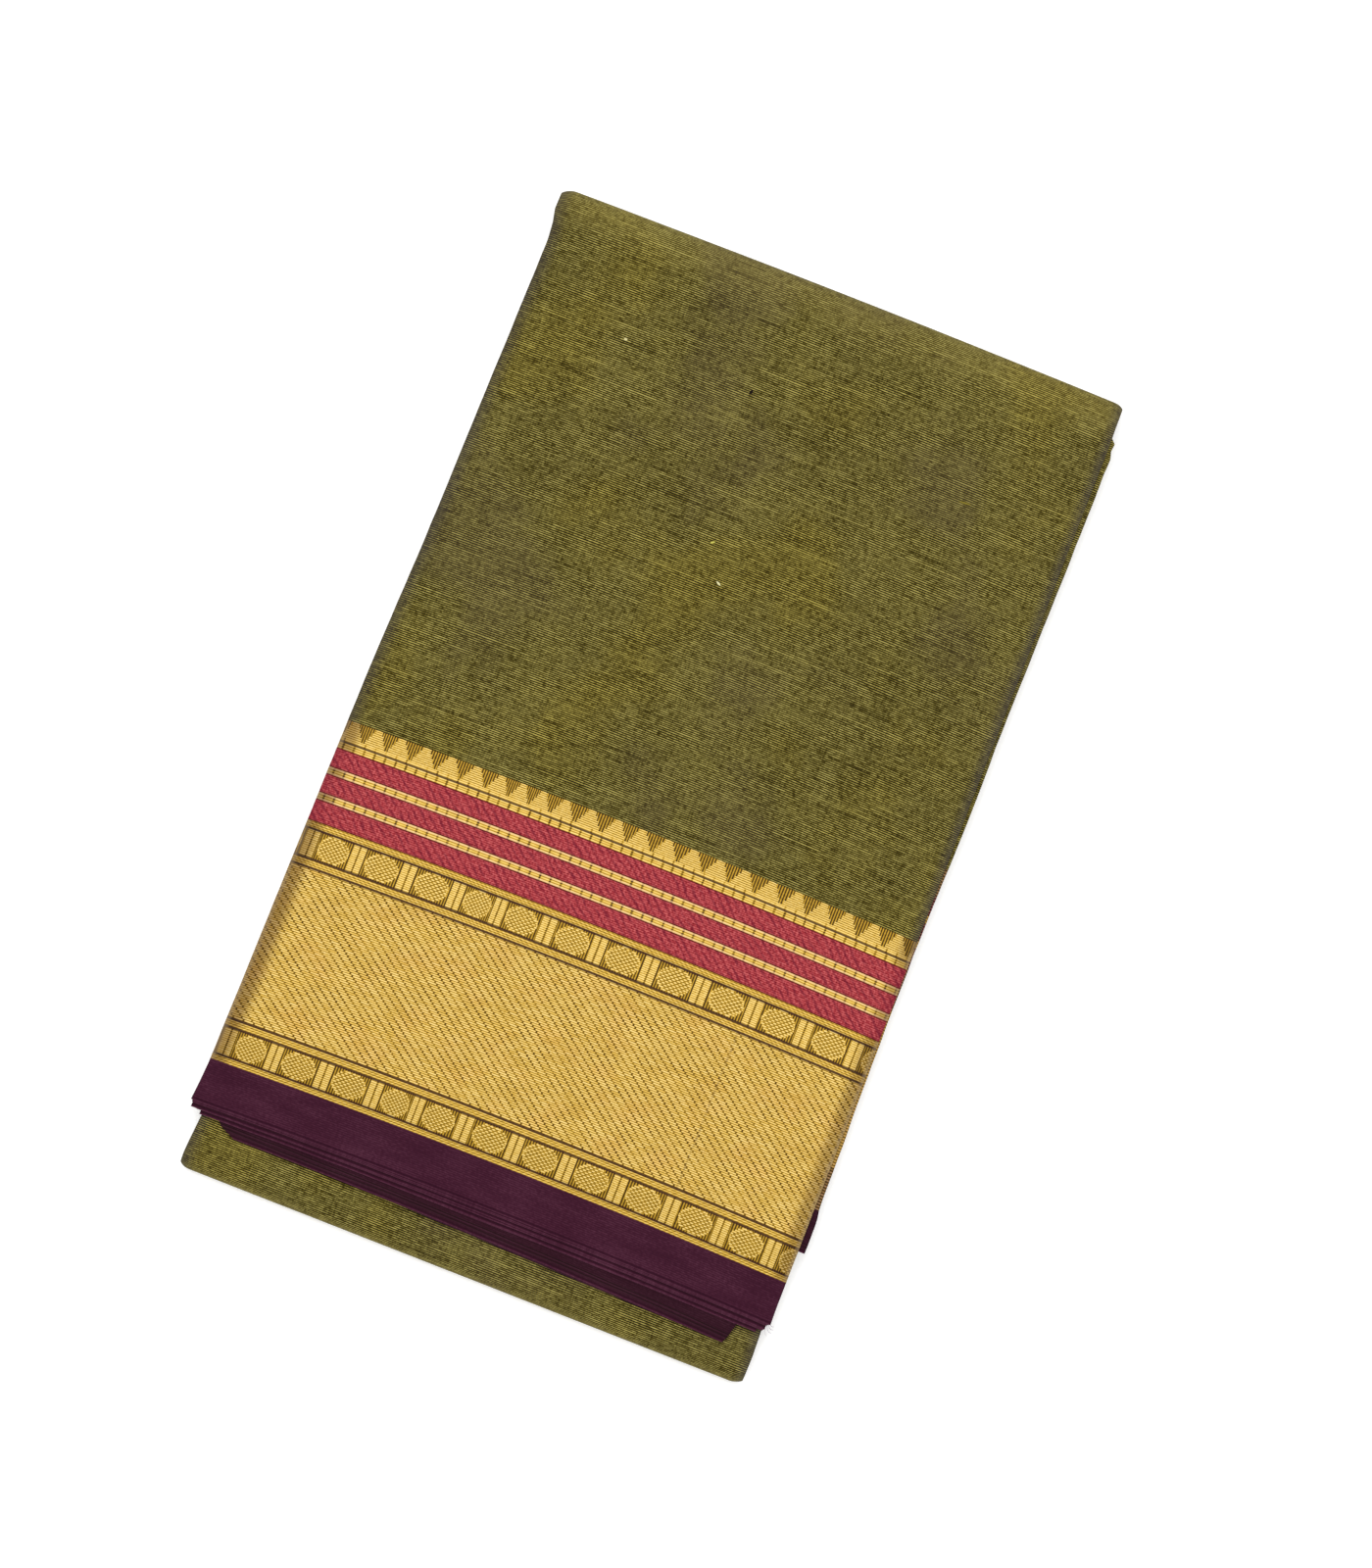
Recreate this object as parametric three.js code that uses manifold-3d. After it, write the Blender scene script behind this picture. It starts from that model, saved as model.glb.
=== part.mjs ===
// A cotton saree, folded as it is sold and laid flat, in millimetres.
//
// X runs along the cloth's length, Y across its width towards the top fold, and Z up from the surface
// that it rests on. The origin is the middle of the footprint. The cloth is halved three times into a
// pack of eight layers, and the pack is folded in three, so three packs lie on each other. All three are
// then folded together like a letter: front panel, top fold, back panel, lower fold, tucked panel.
import * as THREE from 'three';
import { mergeVertices } from 'three/addons/utils/BufferGeometryUtils.js';
import Module from 'manifold-3d';

// Cloth
const CLOTH = 0.22;
const LAYERS_IN_PACK = 8;
const PACK = CLOTH * LAYERS_IN_PACK;
const AIR = 0.3;
const PITCH = PACK + AIR;
const PACKS_IN_PANEL = 3;
const PANELS = 3;
const PANEL = PITCH * PACKS_IN_PANEL;
const SEAM = 0.3;

// Folded size
const TOP_TIP = 202.1;
const LOWER_TIP = -202.1;
const FRONT_EDGE = -174.2;
const SECOND_EDGE = -144;
const THIRD_EDGE = -185.4;
const TUCKED_EDGE = 192.3;
const LOWER_FOLD_REACH = -165;
const HEIGHT = PANEL * PANELS - AIR;
const TUCKED_TOP = PANEL * (PANELS - 1) - AIR;
const TOP_RADIUS = HEIGHT / 2;
const LOWER_RADIUS = TUCKED_TOP / 2;
const TOP_CENTRE = TOP_TIP - TOP_RADIUS;
const LOWER_CENTRE = LOWER_TIP + LOWER_RADIUS;

// Distances along the outermost face, from the front stretch's selvedge edge
const TOP_FOLD_START = TOP_CENTRE - FRONT_EDGE;
const BACK_START = TOP_FOLD_START + Math.PI * TOP_RADIUS;
const LOWER_FOLD_START = BACK_START + TOP_CENTRE - LOWER_CENTRE;
const TUCKED_START = LOWER_FOLD_START + Math.PI * LOWER_RADIUS;

// How the pressed pile gives way towards its sides and corners
const PILE_MIDDLE = HEIGHT / 2;
const SIDE_REACH = 118;
const SIDE_ROLL = 9;
const SIDE_SQUEEZE = 0.1;
const BOW = 1;
const BORDER_BOW = 2;
const BOW_REACH = 118;
const SAG = PITCH;
const SAG_FROM = -143;
const SAG_RUN = 16;
const SAG_STEPS = 4;
const THIRD_SKEW = -0.0205;
const SKEW_END = -80;
const SKEW_RUN = 90;
const SKEW_STEPS = 3;
const STEP_SLOPE = 0.15;

// The filling that joins the hidden panels, and how far it bites into them
const FILLING_REACH = 108;
const FILLING_INSET = 6;
const BITE = 0.1;
const FILLING_BITE = 0.4;
const MERGE = 1e-4;

const CORNERS = [
  { fold: 'top', side: -1, radius: 9, pull: 0.44 },
  { fold: 'top', side: 1, radius: 5, pull: 0.28 },
  { fold: 'lower', side: -1, radius: 6, pull: 0.5 },
  { fold: 'lower', side: 1, radius: 7, pull: 0.6 },
];

const COLOURS = {
  olive: 0x695f2f,
  oliveShade: 0x5c5330,
  gold: 0xd0ac56,
  antiqueGold: 0xc3a053,
  crimson: 0xa74045,
  maroon: 0x462031,
};
const METALLIC_THREAD = ['gold', 'antiqueGold'];

// Woven zones of the border, by distance in from the selvedge edge
const ZONES = [
  { name: 'selvedge', from: 0, to: 17.3, colour: 'maroon' },
  { name: 'outer_bead_band', from: 17.3, to: 34.5, colour: 'antiqueGold' },
  { name: 'twill_band', from: 34.5, to: 98.6, colour: 'gold' },
  { name: 'inner_bead_band', from: 98.6, to: 116.1, colour: 'antiqueGold' },
  { name: 'lower_red_stripe', from: 116.1, to: 124.7, colour: 'crimson' },
  { name: 'lower_gold_stripe', from: 124.7, to: 127.4, colour: 'gold' },
  { name: 'middle_red_stripe', from: 127.4, to: 135.1, colour: 'crimson' },
  { name: 'upper_gold_stripe', from: 135.1, to: 137.9, colour: 'gold' },
  { name: 'upper_red_stripe', from: 137.9, to: 145.8, colour: 'crimson' },
  { name: 'temple_band', from: 145.8, to: 157.0, colour: 'antiqueGold' },
];
const SELVEDGE_WIDTH = ZONES[0].to;
const BORDER_WIDTH = ZONES[ZONES.length - 1].to;

// The selvedges of the layers in the front pack come out past each other, in steps down the pile
const LAYER_STEPS = [
  { out: 2.8, depth: 0.66 },
  { out: 5.0, depth: 1.2 },
];

// Left and right ends of each pack, by place along Y: on the front panel, and on the panels below it
const FRONT_ENDS = [
  [
    { y: 193, left: -114.6, right: 116.0 },
    { y: 187.7, left: -113.4, right: 116.1 },
    { y: 180.6, left: -112.8, right: 116.2 },
    { y: -158.8, left: -119.0, right: 117.7 },
    { y: -174.2, left: -120.2, right: 118.0 },
    { y: -175.7, left: -119.2, right: 116.4 },
    { y: -177.3, left: -119.0, right: 116.3 },
    { y: -179.2, left: -116.4, right: 113.5 },
  ],
  [
    { y: 193, left: -113.8, right: 115.2 },
    { y: 188.6, left: -112.9, right: 115.5 },
    { y: 187.2, left: -112.4, right: 118.5 },
    { y: 183.9, left: -112.2, right: 118.1 },
    { y: 180.2, left: -112.0, right: 119.1 },
    { y: 176.8, left: -112.0, right: 118.5 },
    { y: -126.0, left: -117.4, right: 118.4 },
    { y: -130.5, left: -117.5, right: 120.2 },
    { y: -144.0, left: -117.8, right: 120.3 },
  ],
  [
    { y: 193, left: -114.2, right: 115.6 },
    { y: -31, left: -115.2, right: 114.4 },
    { y: -168, left: -113.6, right: 108.5 },
    { y: -181.4, left: -109.6, right: 105.0 },
    { y: -185.4, left: -107.8, right: 103.4 },
  ],
];
const BACK_ENDS = [
  [
    { y: 193, left: -114.6, right: 116.0 },
    { y: 60, left: -114.9, right: 115.4 },
    { y: -120, left: -114.2, right: 116.0 },
    { y: -180, left: -114.3, right: 115.7 },
    { y: -190, left: -115.2, right: 116.2 },
    { y: -196, left: -115.5, right: 116.0 },
  ],
  [
    { y: 193, left: -113.8, right: 115.2 },
    { y: 40, left: -113.7, right: 114.2 },
    { y: -110, left: -113.1, right: 115.1 },
    { y: -196, left: -114.3, right: 114.9 },
  ],
  [
    { y: 193, left: -114.2, right: 115.6 },
    { y: 90, left: -114.6, right: 115.9 },
    { y: -60, left: -114.4, right: 115.0 },
    { y: -196, left: -114.0, right: 115.3 },
  ],
];

// Rounding of a pack's two long edges, across the cloth and through the pack
const OUTER_PACK_ROUND = { reach: 5, drop: 1.0, steps: 4 };
const INNER_PACK_ROUND = { reach: 1.6, drop: 0.88, steps: 2 };
const UNDER_ROUND = { reach: 0.6, drop: 0.5, steps: 1 };

const ACROSS = [-0.72, -0.43, -0.12, 0.2, 0.5, 0.76];
const NEAR_EDGE = [2.6, 5.6, 9.2];
const NEAR_EDGE_STEP = 0.8;
const FOLD_STEPS = 10;
const LOWER_STEPS = 8;

function smooth(t) {
  const u = THREE.MathUtils.clamp(t, 0, 1);
  return u * u * (3 - 2 * u);
}

// Falls away from 0 inside to 1 at an edge, over the last stretch of the way to it.
function fallAway(distance, reach, run) {
  const t = THREE.MathUtils.clamp((distance - reach + run) / run, 0, 1);
  return t * t;
}

function lookUp(rows, y, column) {
  if (y >= rows[0].y) return rows[0][column];
  for (let i = 1; i < rows.length; i += 1) {
    const a = rows[i - 1];
    const b = rows[i];
    if (y >= b.y) return THREE.MathUtils.lerp(a[column], b[column], (a.y - y) / (a.y - b.y));
  }
  return rows[rows.length - 1][column];
}

// Place on the outermost face, with its outward direction, at a distance along the folded cloth.
function faceAt(s) {
  if (s <= TOP_FOLD_START) {
    return { y: FRONT_EDGE + s, z: HEIGHT, ny: 0, nz: 1, front: true };
  }
  if (s < BACK_START) {
    const turn = (s - TOP_FOLD_START) / TOP_RADIUS;
    const ny = Math.sin(turn);
    const nz = Math.cos(turn);
    return { y: TOP_CENTRE + TOP_RADIUS * ny, z: PILE_MIDDLE + TOP_RADIUS * nz, ny, nz, front: false };
  }
  if (s <= LOWER_FOLD_START) {
    return { y: TOP_CENTRE - (s - BACK_START), z: 0, ny: 0, nz: -1, front: false };
  }
  if (s < TUCKED_START) {
    const turn = (s - LOWER_FOLD_START) / LOWER_RADIUS;
    const ny = -Math.sin(turn);
    const nz = -Math.cos(turn);
    return { y: LOWER_CENTRE + LOWER_RADIUS * ny, z: LOWER_RADIUS * (1 + nz), ny, nz, front: false };
  }
  return { y: LOWER_CENTRE + s - TUCKED_START, z: TUCKED_TOP, ny: 0, nz: 1, front: false };
}

const frontAt = (y) => y - FRONT_EDGE;
const backAt = (y) => BACK_START + TOP_CENTRE - y;
const tuckedAt = (y) => TUCKED_START + y - LOWER_CENTRE;

// The pile is pressed thinner at its sides, its ends bow, and its corners are rounded.
function settle(x, y, z) {
  const side = Math.abs(x);
  const squeeze = 1 - SIDE_SQUEEZE * fallAway(side, SIDE_REACH, SIDE_ROLL);
  const onFront = z > TUCKED_TOP ? 1 : 0;
  const along = (y - LOWER_CENTRE) / (TOP_CENTRE - LOWER_CENTRE);
  const lean = Math.max(onFront, THREE.MathUtils.clamp(2 * along - 1, -1, 1));
  const bow = onFront ? THREE.MathUtils.lerp(BORDER_BOW, BOW, smooth(y / TOP_CENTRE)) : BOW;
  let settledY = y - lean * bow * (Math.min(side, BOW_REACH) / BOW_REACH) ** 2;
  for (const corner of CORNERS) {
    const centre = corner.fold === 'top' ? TOP_CENTRE : LOWER_CENTRE;
    const past = corner.fold === 'top' ? Math.max(y - centre, 0) : Math.min(y - centre, 0);
    if (corner.side * x > 0 && past !== 0 && !(corner.fold === 'lower' && onFront)) {
      settledY -= past * corner.pull * fallAway(side, SIDE_REACH, corner.radius);
    }
  }
  return new THREE.Vector3(x, settledY, PILE_MIDDLE + (z - PILE_MIDDLE) * squeeze);
}

// Inset and depth of the points round one edge, from the edge itself to where the pack is flat.
function edgeRound({ reach, drop, steps }) {
  return Array.from({ length: steps + 1 }, (_, i) => {
    const angle = (Math.PI / 2) * (i / steps);
    return { inset: reach * (1 - Math.cos(angle)), depth: drop * (1 - Math.sin(angle)) };
  });
}

// One pack's cross-section, as an upper and a lower row of points from its left edge to its right.
function packSection(left, right, top, bottom, upperRound, lowerRound) {
  const middle = (left + right) / 2;
  const half = (right - left) / 2;
  const rowOf = (points, level, sign) => {
    const flatFrom = points[points.length - 1].inset + NEAR_EDGE_STEP;
    const near = NEAR_EDGE.filter((inset) => inset > flatFrom).map((inset) => ({ inset, depth: 0 }));
    const edge = [...points, ...near];
    return [
      ...edge.map(({ inset, depth }) => [left + inset, level - sign * depth]),
      ...ACROSS.map((t) => [middle + t * half, level]),
      ...edge.reverse().map(({ inset, depth }) => [right - inset, level - sign * depth]),
    ];
  };
  const upper = edgeRound(upperRound);
  const lower = edgeRound(lowerRound);
  if (upperRound.drop + lowerRound.drop > top - bottom - MERGE) {
    lower.shift();
  }
  return { upper: rowOf(upper, top, 1), lower: rowOf(lower, bottom, -1) };
}

// Triangles between two rows of points that run the same way, as [row, place] pairs.
function fillBetween(upper, lower) {
  const triangles = [];
  let u = 0;
  let l = 0;
  while (u < upper.length - 1 || l < lower.length - 1) {
    const nextUpper = u < upper.length - 1 ? upper[u + 1][0] : Infinity;
    const nextLower = l < lower.length - 1 ? lower[l + 1][0] : Infinity;
    if (nextUpper <= nextLower) {
      triangles.push([['upper', u], ['lower', l], ['upper', u + 1]]);
      u += 1;
    } else {
      triangles.push([['upper', u], ['lower', l], ['lower', l + 1]]);
      l += 1;
    }
  }
  return triangles;
}

// Closed body through sections with the same number of points, flat at both ends.
function bodyThrough(sections, place) {
  const ringOf = ({ upper, lower }) => [...upper, ...[...lower].reverse()];
  const size = ringOf(sections[0].section).length;
  const positions = [];
  for (const { s, section } of sections) {
    for (const [x, n] of ringOf(section)) {
      positions.push(...place(s, x, n).toArray());
    }
  }
  const index = [];
  for (let r = 1; r < sections.length; r += 1) {
    const a = (r - 1) * size;
    const b = r * size;
    for (let i = 0; i < size; i += 1) {
      const j = (i + 1) % size;
      index.push(a + i, a + j, b + i, a + j, b + j, b + i);
    }
  }
  const at = (start, [row, i]) => start + (row === 'upper' ? i : size - 1 - i);
  const last = (sections.length - 1) * size;
  for (const [a, b, c] of fillBetween(sections[0].section.upper, sections[0].section.lower)) {
    index.push(at(0, a), at(0, b), at(0, c));
  }
  const end = sections[sections.length - 1].section;
  for (const [a, b, c] of fillBetween(end.upper, end.lower)) {
    index.push(at(last, a), at(last, c), at(last, b));
  }
  const geometry = new THREE.BufferGeometry();
  geometry.setAttribute('position', new THREE.Float32BufferAttribute(positions, 3));
  geometry.setIndex(index);
  return geometry;
}

// Distances where the loft needs a section: both ends, the turns of the folds, the sag of the front
// stretch, and each row of the pack's ends.
function stationsBetween(from, to, pack) {
  const stations = [from, to];
  const divide = (start, end, steps) => {
    for (let i = 0; i <= steps; i += 1) {
      stations.push(THREE.MathUtils.lerp(start, end, i / steps));
    }
  };
  divide(TOP_FOLD_START, BACK_START, FOLD_STEPS);
  divide(LOWER_FOLD_START, TUCKED_START, LOWER_STEPS);
  FRONT_ENDS[pack].forEach((row) => stations.push(frontAt(row.y)));
  BACK_ENDS[pack].forEach((row) => stations.push(backAt(row.y), tuckedAt(row.y)));
  if (pack === 0) divide(frontAt(SAG_FROM - SAG_RUN), frontAt(SAG_FROM), SAG_STEPS);
  if (pack === 2) divide(frontAt(SKEW_END - SKEW_RUN), frontAt(SKEW_END), SKEW_STEPS);
  const inside = stations.filter((s) => s >= from && s <= to).sort((a, b) => a - b);
  return inside.filter((s, i) => i === 0 || s - inside[i - 1] > MERGE);
}

// The stretch of one pack between two distances along the cloth.
// inward moves the pack's inner face to meet the next pack, and steps are the selvedges that come out
// past the stretch's first end.
function packStretch(pack, from, to, { inward = 0, steps = [] } = {}) {
  const top = -pack * PITCH;
  const bottom = top - PACK - inward;
  const upperRound = pack === 0 ? OUTER_PACK_ROUND : INNER_PACK_ROUND;
  const lowerRound = pack === 0 && inward === 0 ? UNDER_ROUND : INNER_PACK_ROUND;
  const rows = stationsBetween(from, to, pack).map((s) => ({ s, down: 0 }));
  let out = 0;
  for (const step of steps) {
    rows.push({ s: from - out - STEP_SLOPE, down: step.depth });
    rows.push({ s: from - step.out, down: step.depth });
    out = step.out;
  }
  rows.sort((a, b) => a.s - b.s);
  const sections = rows.map(({ s, down }) => {
    const face = faceAt(s);
    const ends = face.front ? FRONT_ENDS[pack] : BACK_ENDS[pack];
    const left = lookUp(ends, face.y, 'left');
    const right = lookUp(ends, face.y, 'right');
    const section = packSection(left, right, top, bottom, upperRound, lowerRound);
    section.upper = section.upper.map(([x, n]) => [x, Math.min(n, top - down)]);
    return { s, section };
  });
  const place = (s, x, n) => {
    const face = faceAt(s);
    let y = face.y + face.ny * n;
    let z = face.z + face.nz * n;
    if (face.front && pack === 0) {
      z -= SAG * smooth((SAG_FROM - y) / SAG_RUN);
    }
    if (face.front && pack === 2) {
      y += THIRD_SKEW * x * smooth((SKEW_END - y) / SKEW_RUN);
    }
    return settle(x, y, z);
  };
  return bodyThrough(sections, place);
}

const wasm = await Module();
wasm.setup();

function solidOf(geometry) {
  const bare = geometry.clone();
  bare.deleteAttribute('normal');
  bare.deleteAttribute('uv');
  const merged = mergeVertices(bare, MERGE);
  return new wasm.Manifold(new wasm.Mesh({
    numProp: 3,
    vertProperties: new Float32Array(merged.attributes.position.array),
    triVerts: new Uint32Array(merged.index.array),
  }));
}

function fused(geometries) {
  const whole = geometries.map(solidOf).reduce((a, b) => a.add(b));
  const { vertProperties, triVerts } = whole.getMesh();
  const geometry = new THREE.BufferGeometry();
  geometry.setAttribute('position', new THREE.BufferAttribute(vertProperties, 3));
  geometry.setIndex(new THREE.BufferAttribute(triVerts, 1));
  return geometry;
}

// A flat filling between two panels, well inside their edges.
function fillingBetween(level, yFrom, yTo) {
  const filling = new THREE.BoxGeometry(2 * FILLING_REACH, yTo - yFrom, AIR + 2 * FILLING_BITE);
  return filling.translate(0, (yFrom + yTo) / 2, level - AIR / 2);
}

const saree = new THREE.Group();

function addStretch(name, geometry, colour) {
  const material = new THREE.MeshStandardMaterial({
    color: COLOURS[colour],
    roughness: METALLIC_THREAD.includes(colour) ? 0.55 : 0.85,
    metalness: METALLIC_THREAD.includes(colour) ? 0.35 : 0,
  });
  const mesh = new THREE.Mesh(geometry, material);
  mesh.name = name;
  saree.add(mesh);
}

function addFrontStretch() {
  for (const zone of ZONES) {
    const first = zone === ZONES[0];
    const from = first ? 0 : zone.from + SEAM / 2;
    const options = first ? { steps: LAYER_STEPS } : {};
    addStretch(`front_${zone.name}`, packStretch(0, from, zone.to - SEAM / 2, options), zone.colour);
  }
  addStretch('front_field', packStretch(0, BORDER_WIDTH + SEAM / 2, TOP_FOLD_START - SEAM / 2), 'olive');
}

function addFoldsAndBack() {
  addStretch('top_fold', packStretch(0, TOP_FOLD_START + SEAM / 2, BACK_START - SEAM / 2), 'olive');
  const back = packStretch(0, BACK_START + SEAM / 2, LOWER_FOLD_START - SEAM / 2);
  addStretch('back_stretch', back, 'olive');
  const tuckedIn = tuckedAt(LOWER_FOLD_REACH);
  addStretch('lower_fold', packStretch(0, LOWER_FOLD_START + SEAM / 2, tuckedIn - SEAM / 2), 'olive');
}

// The selvedge and border of a pack under the front stretch, whose edge lies at its own place.
function addUnderPack(name, pack, edge) {
  const from = frontAt(edge);
  const selvedgeEnd = from + SELVEDGE_WIDTH;
  const borderEnd = from + BORDER_WIDTH;
  const border = packStretch(pack, selvedgeEnd + SEAM / 2, borderEnd - SEAM / 2);
  addStretch(`${name}_selvedge`, packStretch(pack, from, selvedgeEnd - SEAM / 2), 'maroon');
  addStretch(`${name}_border`, border, 'antiqueGold');
  return borderEnd + SEAM / 2;
}

function addUnderPacks() {
  const tuckedEnd = tuckedAt(TUCKED_EDGE);
  const secondStart = addUnderPack('second_pack', 1, SECOND_EDGE);
  const thirdStart = addUnderPack('third_pack', 2, THIRD_EDGE);
  const ends = [THIRD_EDGE + BORDER_WIDTH, TUCKED_EDGE];
  addStretch('inner_layers', fused([
    packStretch(1, secondStart, tuckedEnd, { inward: AIR + BITE }),
    packStretch(2, thirdStart, tuckedEnd),
    packStretch(0, tuckedAt(LOWER_FOLD_REACH) + SEAM / 2, tuckedEnd, { inward: AIR + BITE }),
    fillingBetween(TUCKED_TOP + AIR, ends[0] + FILLING_INSET, ends[1] - FILLING_INSET),
    fillingBetween(PANEL, LOWER_CENTRE + FILLING_INSET, ends[1] - FILLING_INSET),
  ]), 'oliveShade');
}

addFrontStretch();
addFoldsAndBack();
addUnderPacks();

export default saree;
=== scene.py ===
# A folded cotton saree: thin cloth over the frame's solids, its weave, the floor, light and camera.
# Sizes are in millimetres, and MM turns them into metres.
import math

import bmesh
import bpy
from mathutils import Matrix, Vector, noise


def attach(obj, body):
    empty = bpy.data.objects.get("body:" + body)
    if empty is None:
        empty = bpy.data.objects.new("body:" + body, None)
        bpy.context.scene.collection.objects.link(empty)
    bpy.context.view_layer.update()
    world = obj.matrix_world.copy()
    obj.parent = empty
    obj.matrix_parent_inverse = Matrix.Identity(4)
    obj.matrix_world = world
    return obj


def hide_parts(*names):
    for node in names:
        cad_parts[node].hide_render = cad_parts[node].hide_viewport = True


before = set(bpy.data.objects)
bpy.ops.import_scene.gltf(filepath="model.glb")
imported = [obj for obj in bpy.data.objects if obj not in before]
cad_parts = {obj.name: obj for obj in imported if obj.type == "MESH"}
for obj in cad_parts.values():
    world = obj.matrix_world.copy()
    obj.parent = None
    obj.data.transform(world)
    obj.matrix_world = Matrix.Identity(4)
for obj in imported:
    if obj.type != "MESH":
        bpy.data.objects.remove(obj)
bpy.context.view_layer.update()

MM = 0.001

# Cloth and packs, as in the part
CLOTH = 0.22
PITCH = 2.06
PACK = 1.86
PACKS_IN_PANEL = 3
PANEL = PITCH * PACKS_IN_PANEL
AIR = 0.3
TOP_TIP = 202.1
LOWER_TIP = -202.1
FRONT_EDGE = -174.2
SECOND_EDGE = -144.0
THIRD_EDGE = -185.4
TUCKED_EDGE = 192.3
LOWER_FOLD_REACH = -165.0
HEIGHT = PANEL * 3 - AIR
TUCKED_TOP = PANEL * 2 - AIR
TOP_RADIUS = HEIGHT / 2
LOWER_RADIUS = TUCKED_TOP / 2
TOP_CENTRE = TOP_TIP - TOP_RADIUS
LOWER_CENTRE = LOWER_TIP + LOWER_RADIUS

# Distances along the outermost face, from the front stretch's selvedge edge
TOP_FOLD_START = TOP_CENTRE - FRONT_EDGE
BACK_START = TOP_FOLD_START + math.pi * TOP_RADIUS
LOWER_FOLD_START = BACK_START + TOP_CENTRE - LOWER_CENTRE
TUCKED_START = LOWER_FOLD_START + math.pi * LOWER_RADIUS

# How the pressed pile gives way towards its sides and corners
PILE_MIDDLE = HEIGHT / 2
SIDE_REACH = 118.0
SIDE_ROLL = 9.0
SIDE_SQUEEZE = 0.1
BOW = 1.0
BORDER_BOW = 2.0
SAG_FROM = -143.0
SAG_RUN = 16.0
THIRD_SKEW = -0.0205
SKEW_END = -80.0
SKEW_RUN = 90.0

CORNERS = (
    {"fold": "top", "side": -1, "radius": 9.0, "pull": 0.44},
    {"fold": "top", "side": 1, "radius": 5.0, "pull": 0.28},
    {"fold": "lower", "side": -1, "radius": 6.0, "pull": 0.5},
    {"fold": "lower", "side": 1, "radius": 7.0, "pull": 0.45},
)

# Woven zones of the border, by distance in from the selvedge edge
ZONES = {
    "selvedge": (0.0, 17.3),
    "outer_bead_band": (17.3, 34.5),
    "twill_band": (34.5, 98.6),
    "inner_bead_band": (98.6, 116.1),
    "lower_red_stripe": (116.1, 124.7),
    "lower_gold_stripe": (124.7, 127.4),
    "middle_red_stripe": (127.4, 135.1),
    "upper_gold_stripe": (135.1, 137.9),
    "upper_red_stripe": (137.9, 145.8),
    "temple_band": (145.8, 157.0),
}
SELVEDGE_WIDTH = ZONES["selvedge"][1]
BORDER_WIDTH = ZONES["temple_band"][1]

# Each pack's ends, in rows of a place along Y with the left and the right end there: on the front
# panel, and on the panels below it
FRONT_ENDS = (
    (
        (193.0, -114.6, 116.0), (187.7, -113.4, 116.1), (180.6, -112.8, 116.2),
        (135.0, -113.6, 116.3), (60.0, -114.9, 116.6), (5.0, -116.7, 116.8),
        (-158.8, -119.0, 117.7), (-174.2, -120.2, 118.0),
    ),
    (
        (193.0, -113.8, 115.2), (188.6, -112.9, 115.5), (187.2, -112.4, 118.5),
        (183.9, -112.2, 118.1), (180.2, -112.0, 119.1), (176.8, -112.0, 118.5),
        (-40.0, -115.8, 118.0), (-88.0, -116.6, 118.8), (-126.0, -117.4, 119.4),
        (-130.5, -117.5, 120.2), (-144.0, -117.8, 120.3),
    ),
    (
        (193.0, -113.7, 115.6), (180.0, -112.9, 115.5), (-31.0, -115.2, 114.4),
        (-168.0, -113.6, 108.5), (-179.0, -109.2, 105.6), (-182.6, -106.0, 104.6),
        (-185.4, -100.0, 103.4),
    ),
)
BACK_ENDS = (
    (
        (193.0, -114.6, 116.0), (188.0, -113.4, 116.0), (180.0, -112.9, 115.9),
        (135.0, -113.6, 115.7), (60.0, -114.9, 115.4), (-120.0, -114.2, 116.0),
        (-180.0, -114.3, 115.7), (-190.0, -115.2, 116.2), (-196.0, -115.5, 116.0),
    ),
    (
        (193.0, -113.8, 115.2), (180.0, -112.8, 115.1), (40.0, -113.7, 114.2),
        (-110.0, -113.1, 115.1), (-196.0, -114.3, 114.9),
    ),
    (
        (193.0, -113.7, 115.6), (180.0, -112.9, 115.6), (90.0, -114.4, 115.9),
        (-60.0, -114.4, 115.0), (-196.0, -114.0, 115.3),
    ),
)

# Middles of the beads and bars across the front, in turn. They come every FIGURE_STEP in the weave's
# own measure.
FIGURE_MIDDLES = (
    -123.0, -113.3, -104.0, -94.6, -84.5, -74.2, -63.9, -53.9, -45.2, -37.0, -27.6, -17.0, -6.0,
    3.8, 14.6, 25.1, 35.8, 46.2, 57.2, 68.1, 78.7, 88.9, 99.9, 110.1, 119.6, 129.6,
)
FIGURE_STEP = 10.4

# Rounding of the outermost layer over the front pack's sides. All eight layers are nested in the fold
# at the left, and four of them in the upper fold at the right. It is drawn in a few straight steps.
SIDE_ROUND = {
    "left": {"reach": 5.0, "drop": 0.93, "under": 0.93, "turn": 0.9},
    "right": {"reach": 5.0, "drop": 0.52, "under": 0.44, "turn": 0.45},
}
END_DROP = 0.45
END_RUN = 24.0
OVER_STEPS = 9
UNDER_STEPS = 4

# The front pack's other layers at the left, under the rounded one: how far in, with a bulge halfway
UNDER_INSET = 1.5
UNDER_BULGE = 0.2
UNDER_MIDDLE = -1.2
UNDER_LIFT = 0.3
UNDER_GAP = 0.05

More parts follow.
